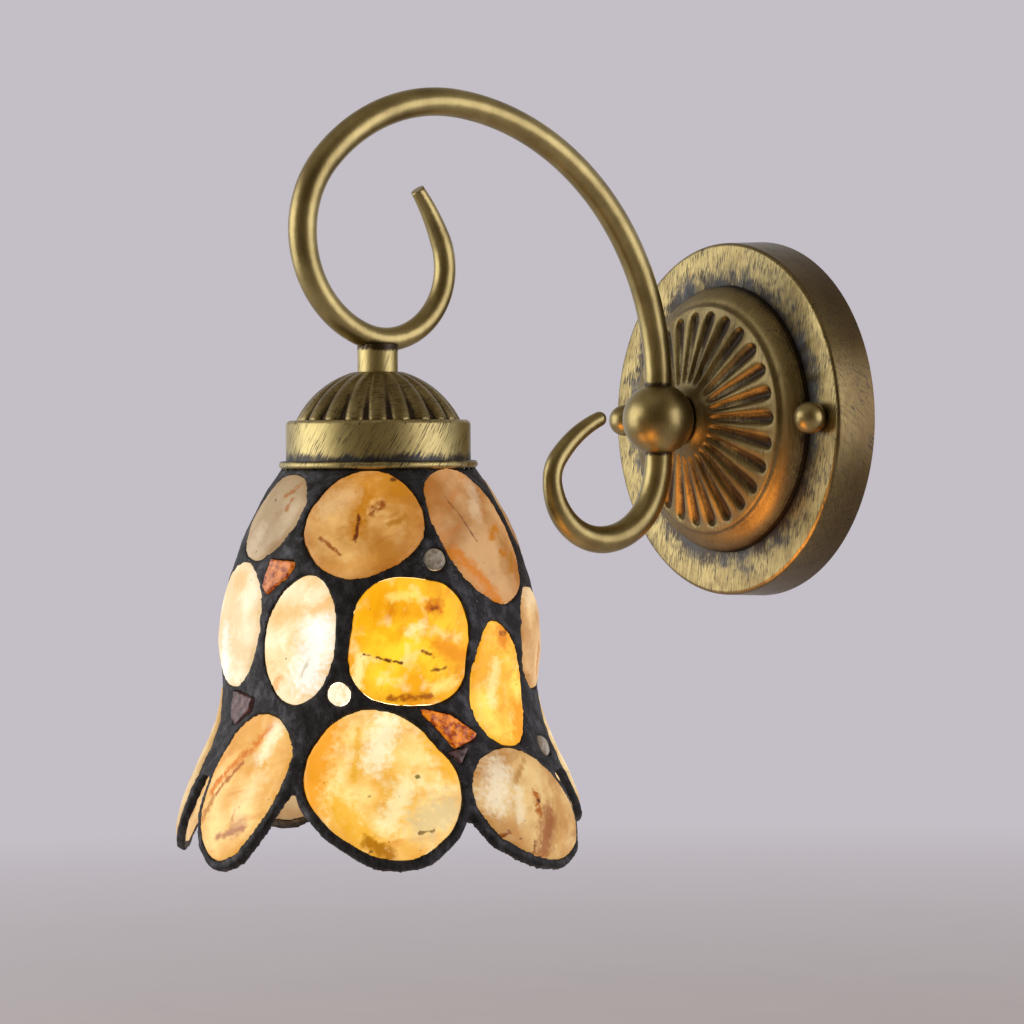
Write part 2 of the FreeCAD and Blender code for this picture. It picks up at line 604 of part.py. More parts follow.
# GALLERY BAND
bead_middle = -(mm.band_height + mm.bead_radius)
bead_reach = mm.band_radius + mm.bead_out
on_axis("gallery_band", [
    (mm.band_radius - mm.band_lip, -mm.seat_gap),
    (mm.band_radius - mm.band_edge, -mm.seat_gap, mm.band_edge, -1),
    (mm.band_radius, -mm.seat_gap - mm.band_edge),
    (mm.band_radius, -mm.band_height),
    (bead_reach, -mm.band_height, mm.bead_radius, -1),
    (bead_reach + mm.bead_radius, bead_middle, mm.bead_radius, -1),
    (bead_reach, bead_middle - mm.bead_radius),
    (mm.band_radius - mm.band_wall, bead_middle - mm.bead_radius),
    (mm.band_radius - mm.band_wall, -mm.seat_gap - mm.band_wall),
    (mm.band_radius - mm.band_lip, -mm.seat_gap - mm.band_wall),
])
seat_height = mm.holder_cap_top + mm.seat_gap
keep(hex_nut("cap_locknut", mm.cap_locknut_radius, mm.thread_radius + mm.seat_gap, mm.cap_locknut_height,
             y=axis_place, z=seat_height), "cap_locknut")

# LAMPHOLDER
shade_seat = bead_middle - mm.bead_radius - mm.seat_gap
body_top = mm.holder_cap_bottom - mm.seat_gap
socket_floor = body_top - mm.holder_floor
on_axis("lampholder_cap", [
    (mm.thread_radius + mm.seat_gap, mm.holder_cap_top),
    (mm.holder_cap_neck, mm.holder_cap_top),
    (mm.holder_cap_neck, mm.holder_cap_top - mm.holder_cap_neck_depth / 2),
    (mm.holder_cap_radius, mm.holder_cap_shoulder),
    (mm.holder_cap_radius, mm.holder_cap_bottom),
    (mm.holder_cap_radius - mm.holder_wall, mm.holder_cap_bottom),
    (mm.holder_cap_radius - mm.holder_wall, mm.holder_cap_shoulder - mm.holder_wall / 2),
    (mm.thread_radius + mm.seat_gap, mm.holder_cap_top - mm.holder_cap_neck_depth - mm.seat_gap),
])
on_axis("lampholder_body", [
    (zero, body_top), (mm.holder_cap_radius, body_top),
    (mm.holder_radius, body_top - mm.holder_floor),
    (mm.holder_radius, shade_seat + mm.seat_gap + mm.shoulder_thickness),
    (mm.shoulder_radius, shade_seat + mm.seat_gap + mm.shoulder_thickness),
    (mm.shoulder_radius, shade_seat + mm.seat_gap), (mm.holder_radius, shade_seat + mm.seat_gap),
    (mm.holder_radius, mm.holder_bottom), (mm.holder_radius - mm.holder_wall, mm.holder_bottom),
    (mm.holder_radius - mm.holder_wall, socket_floor), (zero, socket_floor),
])
plate_bottom = shade_seat - mm.top_plate_thickness
hole_radius = mm.holder_radius + mm.plate_hole_gap
plate_rim = mm.shade_top_radius - mm.shade_wall - mm.stone_proud * 2
on_axis("shade_plate", [(hole_radius, shade_seat), (plate_rim, shade_seat), (plate_rim, plate_bottom),
                        (hole_radius, plate_bottom)])
ring_top = plate_bottom - mm.seat_gap
on_axis("shade_ring", [
    (mm.holder_radius + mm.seat_gap, ring_top), (mm.ring_radius - mm.holder_wall, ring_top),
    (mm.ring_radius, ring_top - mm.holder_wall), (mm.ring_radius, ring_top - mm.ring_thickness),
    (mm.holder_radius + mm.seat_gap, ring_top - mm.ring_thickness),
])
shell_top = socket_floor - mm.seat_gap
on_axis("screw_shell", [
    (mm.shell_radius - mm.shell_wall, shell_top), (mm.shell_radius, shell_top),
    (mm.shell_radius, shell_top - mm.shell_length),
    (mm.shell_radius - mm.shell_wall, shell_top - mm.shell_length),
])
contact_face = shell_top - mm.contact_drop
on_axis("centre_contact", [
    (zero, shell_top), (mm.contact_stem_radius, shell_top),
    (mm.contact_stem_radius, contact_face + mm.contact_thickness),
    (mm.contact_radius, contact_face + mm.contact_thickness), (mm.contact_radius, contact_face),
    (zero, contact_face),
])

# LAMP
tip_top = contact_face - mm.lamp_gap
cone_top = tip_top - mm.lamp_tip_height
cap_top = cone_top - mm.lamp_cone_height
lamp_bottom = tip_top - mm.lamp_length
globe = lamp_bottom + mm.lamp_radius
on_axis("lamp_contact", [
    (zero, tip_top), (mm.lamp_tip_radius, tip_top - mm.lamp_tip_height / 2), (mm.lamp_tip_radius, cone_top),
    (zero, cone_top)])
on_axis("lamp_insulator", [
    (zero, cone_top - mm.seat_gap), (mm.lamp_tip_radius, cone_top - mm.seat_gap),
    (mm.lamp_cap_radius - mm.lamp_cone_height, cap_top - mm.seat_gap), (zero, cap_top - mm.seat_gap)])
cap_bottom = cap_top - mm.lamp_cap_length
on_axis("lamp_cap", [
    (zero, cap_top - mm.seat_gap * 2), (mm.lamp_cap_radius - mm.lamp_cone_height, cap_top - mm.seat_gap * 2),
    (mm.lamp_cap_radius, cap_top - mm.lamp_cone_height), (mm.lamp_cap_radius, cap_bottom),
    (mm.lamp_cap_radius - mm.lamp_shell_wall, cap_bottom),
    (mm.lamp_cap_radius - mm.lamp_shell_wall, cap_top - mm.lamp_cone_height),
    (mm.lamp_cap_radius - mm.lamp_cone_height, cap_top - mm.lamp_shell_wall * 2),
    (zero, cap_top - mm.lamp_shell_wall * 2)])
far = mm.lamp_radius + mm.lamp_waist_curve
near = mm.lamp_neck_radius + mm.lamp_waist_curve
waist_rise = root(far * far - near * near)
inner_radius = mm.lamp_radius - mm.lamp_wall
inner_waist = mm.lamp_waist_curve + mm.lamp_wall
glass_top = cap_bottom + mm.lamp_neck_overlap
on_axis("lamp_glass", [
    (mm.lamp_neck_radius, glass_top), (mm.lamp_neck_radius, globe + waist_rise, mm.lamp_waist_curve, 1),
    (near * mm.lamp_radius / far, globe + waist_rise * mm.lamp_radius / far, mm.lamp_radius, -1),
    (zero, lamp_bottom), (zero, lamp_bottom + mm.lamp_wall, inner_radius, 1),
    (near * inner_radius / far, globe + waist_rise * inner_radius / far, inner_waist, -1),
    (mm.lamp_neck_radius - mm.lamp_wall, globe + waist_rise), (mm.lamp_neck_radius - mm.lamp_wall, glass_top),
])

# SHADE
# The shell's outline runs down from the metal plate. Each place in it is (height share, flare share).
shade_profile_shares = [(0.0, 0.0), (0.1, 0.225), (0.25, 0.445), (0.45, 0.578), (0.6, 0.566), (0.75, 0.746),
                        (0.9, 0.95), (1.0, 1.0), (1.04, 1.005)]
hem_line_share = 0.79
shade_top = shade_seat.value
flare = mm.shade_hem_radius.value - mm.shade_top_radius.value
shade_curve = Part.BSplineCurve()
shade_curve.interpolate([FreeCAD.Vector(mm.shade_top_radius.value + flare * flare_share, 0,
                                        shade_top - mm.shade_height.value * height_share)
                         for height_share, flare_share in shade_profile_shares])
profile_places = [shade_curve.parameter(FreeCAD.Vector(mm.shade_top_radius.value + flare * flare_share, 0,
                                                       shade_top - mm.shade_height.value * height_share))
                  for height_share, flare_share in shade_profile_shares]


def shade_point(height):
    """Place on the shade's outside at a height, with the direction down along it and the outward normal."""
    low, high = shade_curve.FirstParameter, shade_curve.LastParameter
    while high - low > mm.seat_gap.value / mm.shade_height.value:
        middle = (low + high) / 2
        low, high = (middle, high) if shade_curve.value(middle).z > height else (low, middle)
    tangent = shade_curve.tangent(low)[0]
    return shade_curve.value(low), tangent, FreeCAD.Vector(-tangent.z, 0, tangent.x)


def shade_shell(outside, inside):
    """Shell of revolution whose faces lie so far outside and inside the shade's outline."""
    lines = []
    for offset in (outside, -inside):
        spots = []
        for place_on in profile_places:
            tangent = shade_curve.tangent(place_on)[0]
            spots.append(shade_curve.value(place_on) + FreeCAD.Vector(-tangent.z, 0, tangent.x) * offset)
        line = Part.BSplineCurve()
        line.interpolate(spots)
        lines.append((spots, line.toShape()))
    (outer_spots, outer), (inner_spots, inner) = lines
    ends = [Part.makeLine(outer_spots[0], inner_spots[0]), Part.makeLine(inner_spots[-1], outer_spots[-1])]
    face = Part.Face(Part.Wire([ends[0], inner, ends[1], outer]))
    return face.revolve(FreeCAD.Vector(), FreeCAD.Vector(0, 0, 1), 360)


def on_shade(shape, azimuth, height_share):
    """Moves a shape from the plane Z = 0 to the shade: its X runs round, its Y up and its Z outward."""
    point, tangent, normal = shade_point(shade_top - mm.shade_height.value * height_share)
    across = FreeCAD.Vector(0, 1, 0)
    turn = FreeCAD.Rotation(across, -tangent, normal, "ZXY")
    shape = shape.copy()
    shape.Placement = FreeCAD.Placement(point, turn)
    shape.rotate(FreeCAD.Vector(), FreeCAD.Vector(0, 0, 1), azimuth)
    return shape


def drawn_sizes(height_share):
    """What one share across and one share along the shade measure at a height, in millimetres."""
    radius = shade_point(shade_top - mm.shade_height.value * height_share)[0].x
    flared = (radius - mm.shade_top_radius.value) / flare
    return radius / (top_round_share + flare_round_share * flared), mm.shade_height.value


def stone_outline(row, margin):
    """Closed curve round a stone. Squareness 2 is an ellipse, and egg widens the top."""
    height_share, width_share, tall_share, lean, squareness, egg = row[1:]
    across_size, along_size = drawn_sizes(height_share)
    turn = math.radians(lean)
    spots = []
    for step in range(outline_steps):
        angle = 2 * math.pi * step / outline_steps
        across, along = math.cos(angle), math.sin(angle)
        across = math.copysign(abs(across) ** (2 / squareness), across)
        along = math.copysign(abs(along) ** (2 / squareness), along)
        x = (width_share / 2 + margin / across_size) * across * (1 + egg * along)
        y = (tall_share / 2 + margin / along_size) * along
        spots.append(FreeCAD.Vector((x * math.cos(turn) + y * math.sin(turn)) * across_size,
                                    (y * math.cos(turn) - x * math.sin(turn)) * along_size, 0))
    line = Part.BSplineCurve()
    line.interpolate(spots, PeriodicFlag=True)
    return line.toShape()


def stone_prism(row, margin):
    face = Part.Face(Part.Wire([stone_outline(row, margin)]))
    face.translate(FreeCAD.Vector(0, 0, -mm.stone_reach.value))
    prism = face.extrude(FreeCAD.Vector(0, 0, mm.stone_reach.value * 1.5))
    return on_shade(prism, row[0], row[1])


# Each stone is azimuth from +X in degrees, height share, width share, tall share, lean in degrees,
# squareness, egg. The shares are of the shade's height, and those across the shade are drawn for a shade
# whose top radius and flare have the two round shares of its height, so they follow its radius.
outline_steps = 12
top_round_share, flare_round_share = 0.255, 0.2876
nugget_round_share = 0.35
stone_shares = {
    "upper": [
        (-91.2, 0.117, 0.212, 0.25, 18, 2.0, 0.0), (-41, 0.134, 0.282, 0.308, 54, 2.2, 0.05),
        (15, 0.163, 0.262, 0.386, -17, 2.15, -0.05), (76, 0.137, 0.318, 0.255, 10, 2.2, 0.0),
        (138, 0.144, 0.27, 0.285, -15, 2.1, 0.1), (204, 0.137, 0.3, 0.255, 15, 2.1, -0.1),
    ],
    "middle": [
        (-101, 0.398, 0.28, 0.324, 0, 1.9, 0.05), (-63.5, 0.43, 0.205, 0.332, 9, 1.9, -0.05),
        (-22.5, 0.434, 0.303, 0.322, 4, 2.9, -0.06), (13.5, 0.552, 0.195, 0.323, -6, 1.9, -0.2),
        (41, 0.442, 0.19, 0.27, -3, 2.0, 0.0), (77, 0.425, 0.27, 0.288, 5, 2.3, 0.0),
        (113, 0.45, 0.2, 0.31, -6, 1.9, 0.0), (149, 0.431, 0.25, 0.28, 0, 2.2, 0.0),
        (186, 0.439, 0.235, 0.318, 8, 1.9, 0.0), (221, 0.42, 0.225, 0.28, -5, 2.2, 0.0),
    ],
    "hem": [
        (-129, 0.772, 0.3, 0.42, 3, 2.0, 0.0), (-81, 0.8, 0.26, 0.39, 15, 2.1, 0.06),
        (-33, 0.784, 0.34, 0.41, -52, 2.3, 0.0), (17, 0.857, 0.262, 0.398, -63, 2.1, 0.1),
        (68, 0.755, 0.32, 0.35, -15, 2.1, 0.0), (119, 0.782, 0.315, 0.36, 10, 2.1, 0.0),
        (176, 0.782, 0.33, 0.375, -10, 2.1, 0.0),
    ],
}
# Each nugget is azimuth and height share. Each chip is azimuth, height share and its corners.
nugget_shares = [(-11, 0.227), (-48.5, 0.568), (35.5, 0.72), (107.5, 0.25), (168, 0.26), (205, 0.6)]
chip_shares = [
    (-76, 0.268, [(-0.034, 0.042), (0.054, 0.036), (0.036, -0.005), (-0.024, -0.053), (-0.045, -0.03)]),
    (-93.5, 0.614, [(-0.044, 0.045), (0.06, 0.03), (0.052, 0.0), (-0.009, -0.046), (-0.045, -0.018)]),
    (-10.5, 0.655, [(-0.07, 0.054), (0.015, 0.034), (0.082, -0.018), (0.076, -0.031), (0.015, -0.055)]),
    (-8, 0.722, [(-0.03, 0.009), (0.034, 0.018), (0.003, -0.026)]),
    (148, 0.645, [(-0.04, 0.035), (0.045, 0.04), (0.01, -0.05), (-0.025, -0.04)]),
]

frame_shell = shade_shell(zero, mm.shade_wall.value)
stone_shell = shade_shell(mm.stone_proud.value, mm.shade_wall.value + mm.stone_proud.value)
hem_z = shade_top - mm.shade_height.value * hem_line_share
below = Part.makeCylinder(mm.shade_hem_radius.value + mm.shade_wall.value, mm.shade_height.value,
                          FreeCAD.Vector(0, 0, hem_z - mm.shade_height.value))
frame = frame_shell.cut(below)
borders = [frame_shell.common(stone_prism(row, mm.lead_width.value)) for row in stone_shares["hem"]]
frame = frame.fuse(borders)

cutters, stones = [], []
for tier, rows in stone_shares.items():
    for index, row in enumerate(rows, start=1):
        cutters.append(stone_prism(row, zero))
        stone = stone_shell.common(stone_prism(row, -mm.stone_gap.value))
        stones.append(("stone_%s_%d" % (tier, index), stone))

nugget_middle = -(mm.shade_wall.value + mm.nugget_height.value) / 2
nuggets, chips = [], []
for azimuth, height_share in nugget_shares:
    bead = Part.makeCylinder(mm.nugget_radius.value, mm.nugget_height.value,
                             FreeCAD.Vector(0, 0, nugget_middle))
    rims = [edge for edge in bead.Edges if edge.Length > mm.nugget_height.value * 2]
    bead = bead.makeFillet(mm.nugget_height.value * nugget_round_share, rims)
    nuggets.append(on_shade(bead, azimuth, height_share))
    eye = Part.makeCylinder(mm.nugget_radius.value + mm.stone_gap.value, mm.stone_reach.value * 1.5,
                            FreeCAD.Vector(0, 0, -mm.stone_reach.value))
    cutters.append(on_shade(eye, azimuth, height_share))
chip_depth = mm.shade_wall.value + mm.stone_proud.value
for azimuth, height_share, corner_shares in chip_shares:
    across_size, along_size = drawn_sizes(height_share)
    places = [FreeCAD.Vector(x * across_size, y * along_size, 0) for x, y in corner_shares]
    reach = min(corner.Length for corner in places)
    for margin, low, high, into in ((-mm.stone_gap.value, -chip_depth, mm.stone_proud.value, chips),
                                    (zero, -mm.stone_reach.value, mm.stone_reach.value / 2, cutters)):
        corners = [corner * (1 + margin / reach) + FreeCAD.Vector(0, 0, low) for corner in places]
        prism = Part.Face(Part.makePolygon(corners + corners[:1])).extrude(FreeCAD.Vector(0, 0, high - low))
        into.append(on_shade(Part.makeCompound([prism]), azimuth, height_share).Solids[0])
solid_node("shade_frame", frame.cut(cutters).removeSplitter(), y=axis_place)
for name, stone in stones:
    solid_node(name, stone, y=axis_place)
solid_node("stone_nuggets", Part.makeCompound(nuggets), y=axis_place)
solid_node("stone_chips", Part.makeCompound(chips), y=axis_place)

doc.recompute()
for item in doc.Objects:
    if "Invalid" in item.State or "Error" in item.State:
        raise ValueError("%s: %s" % (item.Name, item.getStatusString()))
os.makedirs("parts", exist_ok=True)
for item in nodes:
    shape = item.Shape
    if shape.isNull() or not shape.isValid():
        raise ValueError(item.Label + " is not a valid shape")
for item in nodes:
    item.Shape.exportStep("parts/%s.step" % item.Label)
    print("%-16s solids %d volume %.0f" % (item.Label, len(item.Shape.Solids), item.Shape.Volume))
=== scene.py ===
import bpy
import bmesh
import json
import math
from functools import partial
from mathutils import Matrix, Vector, noise


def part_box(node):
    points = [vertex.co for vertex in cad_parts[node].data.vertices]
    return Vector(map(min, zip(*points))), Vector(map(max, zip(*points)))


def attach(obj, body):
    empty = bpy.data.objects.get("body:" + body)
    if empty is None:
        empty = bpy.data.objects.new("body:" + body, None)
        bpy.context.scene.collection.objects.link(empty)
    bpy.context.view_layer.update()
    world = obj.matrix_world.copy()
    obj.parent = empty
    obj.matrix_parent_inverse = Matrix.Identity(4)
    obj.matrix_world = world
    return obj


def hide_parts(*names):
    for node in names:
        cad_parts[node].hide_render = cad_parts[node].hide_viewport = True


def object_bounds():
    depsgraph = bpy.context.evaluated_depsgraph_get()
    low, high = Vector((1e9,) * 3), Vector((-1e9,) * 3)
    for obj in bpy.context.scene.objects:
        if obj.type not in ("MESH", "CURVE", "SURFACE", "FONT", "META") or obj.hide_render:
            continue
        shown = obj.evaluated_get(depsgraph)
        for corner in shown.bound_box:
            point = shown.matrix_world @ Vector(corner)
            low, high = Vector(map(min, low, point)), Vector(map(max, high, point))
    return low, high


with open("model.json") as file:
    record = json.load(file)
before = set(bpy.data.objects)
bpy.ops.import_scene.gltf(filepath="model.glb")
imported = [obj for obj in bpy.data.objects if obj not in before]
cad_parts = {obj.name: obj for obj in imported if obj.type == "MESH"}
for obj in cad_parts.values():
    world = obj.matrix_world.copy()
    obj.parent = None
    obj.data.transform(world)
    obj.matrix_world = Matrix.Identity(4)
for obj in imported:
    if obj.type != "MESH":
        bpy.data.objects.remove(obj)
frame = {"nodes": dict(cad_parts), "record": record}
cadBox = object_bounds()
nodes = frame["nodes"]
record = frame["record"]
mm = 0.001
print("frame loaded:", len(nodes), "nodes")

slotOf = {entry["node"]: entry["material_slot"] for entry in record["subparts"]}
bodyOf = {node: body for body, members in record["behaviour"]["bodies"].items() for node in members}

# places read from the frame
bandLow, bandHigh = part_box("gallery_band")
shadeX, shadeY = (bandLow.x + bandHigh.x) / 2, (bandLow.y + bandHigh.y) / 2
bandRadius = bandHigh.x - shadeX
ballLow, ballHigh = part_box("hub_ball")
ballMiddle, ballRadius = (ballLow + ballHigh) / 2, (ballHigh.x - ballLow.x) / 2
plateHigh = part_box("backplate")[1]
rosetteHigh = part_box("rosette")[1]
collarTop = Vector((shadeX, shadeY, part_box("stem_collar")[1].z))
lampLow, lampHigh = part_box("lamp_glass")
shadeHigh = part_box("shade_frame")[1]


# colours and nodes

def linear(hexColour):
    channels = [int(hexColour[i:i + 2], 16) / 255 for i in (1, 3, 5)]
    return tuple(c / 12.92 if c <= 0.04045 else ((c + 0.055) / 1.055) ** 2.4 for c in channels) + (1.0,)


# inputs go by name or number; each takes a value, a hex colour or another node's output
def setInputs(node, inputs):
    for name, value in inputs.items():
        if isinstance(value, bpy.types.NodeSocket):
            node.id_data.links.new(value, node.inputs[name])
        else:
            node.inputs[name].default_value = linear(value) if isinstance(value, str) else value


# gives one output of the new node. MapRange takes its value, from low, from high, to low and to high as 0 to
# 4, and Mix for colours takes its factor as 0 and its colours as 6 and 7, and gives output 2
def addNode(tree, kind, inputs=None, output=0, **settings):
    node = tree.nodes.new("ShaderNode" + kind)
    for name, value in settings.items():
        setattr(node, name, value)
    setInputs(node, inputs or {})
    return node.outputs[output]


def newMaterial(name):
    material = bpy.data.materials.new(name)
    material.use_nodes = True
    add = partial(addNode, material.node_tree)
    return material, material.node_tree.nodes["Principled BSDF"], add, add("TexCoord", output="Object")


# noise with grains of about sizes millimetres along X, Y and Z, turned by radians; origin picks another part
def grain(add, place, sizes, origin=(0, 0, 0), turn=(0, 0, 0), detail=3.0, roughness=0.55):
    sizes = sizes if isinstance(sizes, tuple) else (sizes,) * 3
    placed = add("Mapping", {
        "Vector": place, "Location": tuple(value * 0.1 for value in origin), "Rotation": turn,
        "Scale": tuple(size * mm for size in sizes)}, vector_type="TEXTURE")
    return add("TexNoise", {"Vector": placed, "Scale": 1.0, "Detail": detail, "Roughness": roughness})


# distance in metres from a centre; an axis with scale zero is left out
def distanceFrom(add, place, centre, scale=(1, 1, 1)):
    moved = add("VectorMath", {0: place, 1: tuple(centre)}, operation="SUBTRACT")
    scaled = add("VectorMath", {0: moved, 1: scale}, operation="MULTIPLY")
    return add("VectorMath", {0: scaled}, "Value", operation="LENGTH")


# place unrolled round the shade's axis: along the girth, outward and up, so marks run the same all round
def unrolled(add, place, girthRadius):
    moved = add("VectorMath", {0: place, 1: (shadeX, shadeY, 0)}, operation="SUBTRACT")
    split = {letter: add("SeparateXYZ", {0: moved}, letter) for letter in ("X", "Y", "Z")}
    turn = add("Math", {0: split["Y"], 1: split["X"]}, operation="ARCTAN2")
    return add("CombineXYZ", {
        "X": add("Math", {0: turn, 1: girthRadius}, operation="MULTIPLY"),
        "Y": distanceFrom(add, moved, (0, 0, 0), (1, 1, 0)), "Z": split["Z"]})


# antique brass: plated steel, darkened, then brushed and wiped, under a satin lacquer. Wiped high places are
# a pale olive yellow, brush marks and hollows stay brown black, and thick darkening looks blue grey. Sizes
# are in millimetres, and an edge gives the noise levels that a border runs between
brass = {
    "pale": "#B5A46C", "mid": "#857446", "dark": "#2E2518", "brown": "#4F3C1E", "hollow": "#3A2C1A",
    "blueGrey": "#424446", "hair": (0.42, 9.0), "patchSize": 13.0, "speckSize": 1.1,
    "satin": 0.36, "dull": 0.56, "hollowDull": 0.15, "coat": 0.3, "coatRoughness": 0.3,
    "cloudEdge": (0.34, 0.68), "brushEdge": (0.3, 0.7), "patchEdge": (0.42, 0.60), "hairEdge": (0.52, 0.62),
    "speckEdge": (0.66, 0.78), "hollowEdge": (0.32, 0.80),
    "hairFray": 1.4, "patchFray": 1.6, "sideBrownAndShade": 0.85, "reliefDepth": 0.04, "relief": 0.4,
}


# hairs: how dark the brush marks are; spread: how evenly they lie; turn: their direction; hollow: 1 where the
# darkening was left; frayed: how uneven its border is; thick: how much of it is blue grey; side: 1 on a face
# that is brushed along sideTurn and painted browner as shade; brown: how much browner the wiped metal is
def brassMaterial(name, hairs=0.5, spread=0.1, turn=(0, 0, 0), lengthwise="Z", around=0.0, patch=0.6,
                  hollow=None, frayed=1.0, thick=0.0, side=None, sideTurn=(0, 0, 0), speckle=0.25, satin=None,
                  tones=0.22, brown=0.0):
    material, shader, add, objectPlace = newMaterial(name)
    place = unrolled(add, objectPlace, around) if around else objectPlace
    width, length = brass["hair"]
    sizes = {"X": (length, width, width), "Z": (width, width, length)}[lengthwise]
    patchSize = brass["patchSize"]
    brushed = grain(add, place, tuple(size * 1.7 for size in sizes), turn=turn, detail=2.0, roughness=0.6)
    hair = grain(add, place, sizes, origin=(3, 5, 1), turn=turn, detail=2.0)
    cloud = grain(add, objectPlace, patchSize)
    patches = grain(add, objectPlace, patchSize * 0.55, origin=(7, 2, 9), roughness=0.65)
    specks = grain(add, objectPlace, brass["speckSize"], origin=(2, 8, 5), roughness=0.7)
    if side:
        onBrushedShadedSide = side(add, objectPlace)
        sideHair = grain(add, place, sizes, origin=(6, 1, 4), turn=sideTurn, detail=2.0, roughness=0.6)
        hair = add("Mix", {0: onBrushedShadedSide, 6: hair, 7: sideHair}, 2, data_type="RGBA")

    low, high = brass["cloudEdge"]
    cloudy = add("MapRange", {0: cloud, 1: low, 2: high, 3: 0.0, 4: patch})
    low, high = brass["brushEdge"]
    streaky = add("MapRange", {0: brushed, 1: low, 2: high, 3: -tones, 4: tones})
    tone = add("Math", {0: cloudy, 1: streaky}, operation="ADD", use_clamp=True)
    colour = add("Mix", {0: tone, 6: brass["pale"], 7: brass["mid"]}, 2, data_type="RGBA")
    colour = add("Mix", {0: brown, 6: colour, 7: brass["brown"]}, 2, data_type="RGBA")
    # painted shade: the shaded side is mixed towards brown
    if side:
        sideBrownedAndShaded = add("Math", {0: onBrushedShadedSide, 1: brass["sideBrownAndShade"]}, operation="MULTIPLY")
        colour = add("Mix", {0: sideBrownedAndShaded, 6: colour, 7: brass["brown"]}, 2, data_type="RGBA")

    low, high = brass["patchEdge"]
    where = add("MapRange", {0: patches, 1: low, 2: high, 3: spread, 4: 1.0})
    low, high = brass["hairEdge"]
    marks = add("MapRange", {0: hair, 1: low, 2: high})
    marks = add("Math", {0: marks, 1: where}, operation="MULTIPLY")
    marks = add("Math", {0: marks, 1: hairs}, operation="MULTIPLY", use_clamp=True)
    low, high = brass["speckEdge"]
    speckled = add("MapRange", {0: specks, 1: low, 2: high, 3: 0.0, 4: speckle})
    marks = add("Math", {0: marks, 1: speckled}, operation="MAXIMUM")
    colour = add("Mix", {0: marks, 6: colour, 7: brass["dark"]}, 2, data_type="RGBA")
    rough = add("MapRange", {0: marks, 3: satin or brass["satin"], 4: brass["dull"]})

    if hollow:
        left = hollow(add, objectPlace)
        hairRagged = add("Math", {0: hair, 1: 0.5}, operation="SUBTRACT")
        hairRagged = add("Math", {0: hairRagged, 1: brass["hairFray"] * frayed}, operation="MULTIPLY")
        patchRagged = add("Math", {0: patches, 1: 0.5}, operation="SUBTRACT")
        patchRagged = add("Math", {0: patchRagged, 1: brass["patchFray"] * frayed}, operation="MULTIPLY")
        ragged = add("Math", {0: hairRagged, 1: patchRagged}, operation="ADD")
        low, high = brass["hollowEdge"]
        left = add("MapRange", {0: add("Math", {0: left, 1: ragged}, operation="ADD"), 1: low, 2: high})
        low, high = brass["patchEdge"]
        thickness = add("MapRange", {0: cloud, 1: low, 2: high, 3: 0.35, 4: 1.0})
        thickness = add("Math", {0: thickness, 1: thick}, operation="MULTIPLY")
        darkening = add("Mix", {0: thickness, 6: brass["hollow"], 7: brass["blueGrey"]}, 2, data_type="RGBA")
        colour = add("Mix", {0: left, 6: colour, 7: darkening}, 2, data_type="RGBA")
        dulled = add("Math", {0: left, 1: brass["hollowDull"]}, operation="MULTIPLY")
        rough = add("Math", {0: rough, 1: dulled}, operation="ADD", use_clamp=True)

    sunk = add("Math", {0: marks, 1: -0.6}, operation="MULTIPLY")
    relief = add("Math", {0: brushed, 1: sunk}, operation="ADD")
    setInputs(shader, {
        "Base Color": colour, "Roughness": rough, "Metallic": 1.0, "Coat Weight": brass["coat"],
        "Coat Roughness": brass["coatRoughness"], "Normal": add("Bump", {
            "Height": relief, "Distance": brass["reliefDepth"] * mm, "Strength": brass["relief"]})})
    return material


# where the darkening is left, or the metal is browner as painted shade on the pan's side: 1 there and 0 on
# wiped metal

def plateHollow(add, place):
    reach = distanceFrom(add, place, (0, 0, 0), (1, 0, 1))
    return add("MapRange", {
        0: reach, 1: rosetteHigh.x + 0.5 * mm, 2: rosetteHigh.x + 12 * mm, 3: 0.92, 4: 0.14})


# the pan's rim side: brushed its own way, and painted browner and darker as shade
def plateSideBrushedAndShaded(add, place):
    reach = distanceFrom(add, place, (0, 0, 0), (1, 0, 1))
    return add("MapRange", {0: reach, 1: plateHigh.x - 1.6 * mm, 2: plateHigh.x - 0.3 * mm})


def bandFoot(add, place):
    height = add("SeparateXYZ", {0: place}, "Z")
    above = add("MapRange", {0: height, 1: bandLow.z + 3.2 * mm, 2: bandLow.z + 6.5 * mm, 3: 0.95, 4: 0.08})
    bead = add("MapRange", {0: height, 1: bandLow.z + 1.9 * mm, 2: bandLow.z + 2.5 * mm})
    return add("Math", {0: above, 1: bead}, operation="MULTIPLY")


def painted(add, place):
    return add("Attribute", output="Fac", attribute_name="hollow")


# tube ends keep the darkening where they enter the ball and where the loop is joined to the collar
def tubeJoints(add, place):
    fromBall = distanceFrom(add, place, ballMiddle)
    atBall = add("MapRange", {
        0: fromBall, 1: ballRadius + 0.2 * mm, 2: ballRadius + 1.8 * mm, 3: 0.95, 4: 0.0})
    fromCollar = distanceFrom(add, place, collarTop)
    near = add("MapRange", {0: fromCollar, 1: 5.0 * mm, 2: 7.0 * mm, 3: 1.0, 4: 0.0})
    height = add("SeparateXYZ", {0: place}, "Z")
    low = add("MapRange", {0: height, 1: collarTop.z - 0.6 * mm, 2: collarTop.z + 1.0 * mm, 3: 0.85, 4: 0.0})
    atCollar = add("Math", {0: near, 1: low}, operation="MULTIPLY")
    return add("Math", {0: atBall, 1: atCollar}, operation="MAXIMUM")


def collarJoint(add, place):
    height = add("SeparateXYZ", {0: place}, "Z")
    return add("MapRange", {0: height, 1: collarTop.z - 3.2 * mm, 2: collarTop.z - 1.4 * mm, 3: 0.0, 4: 0.95})


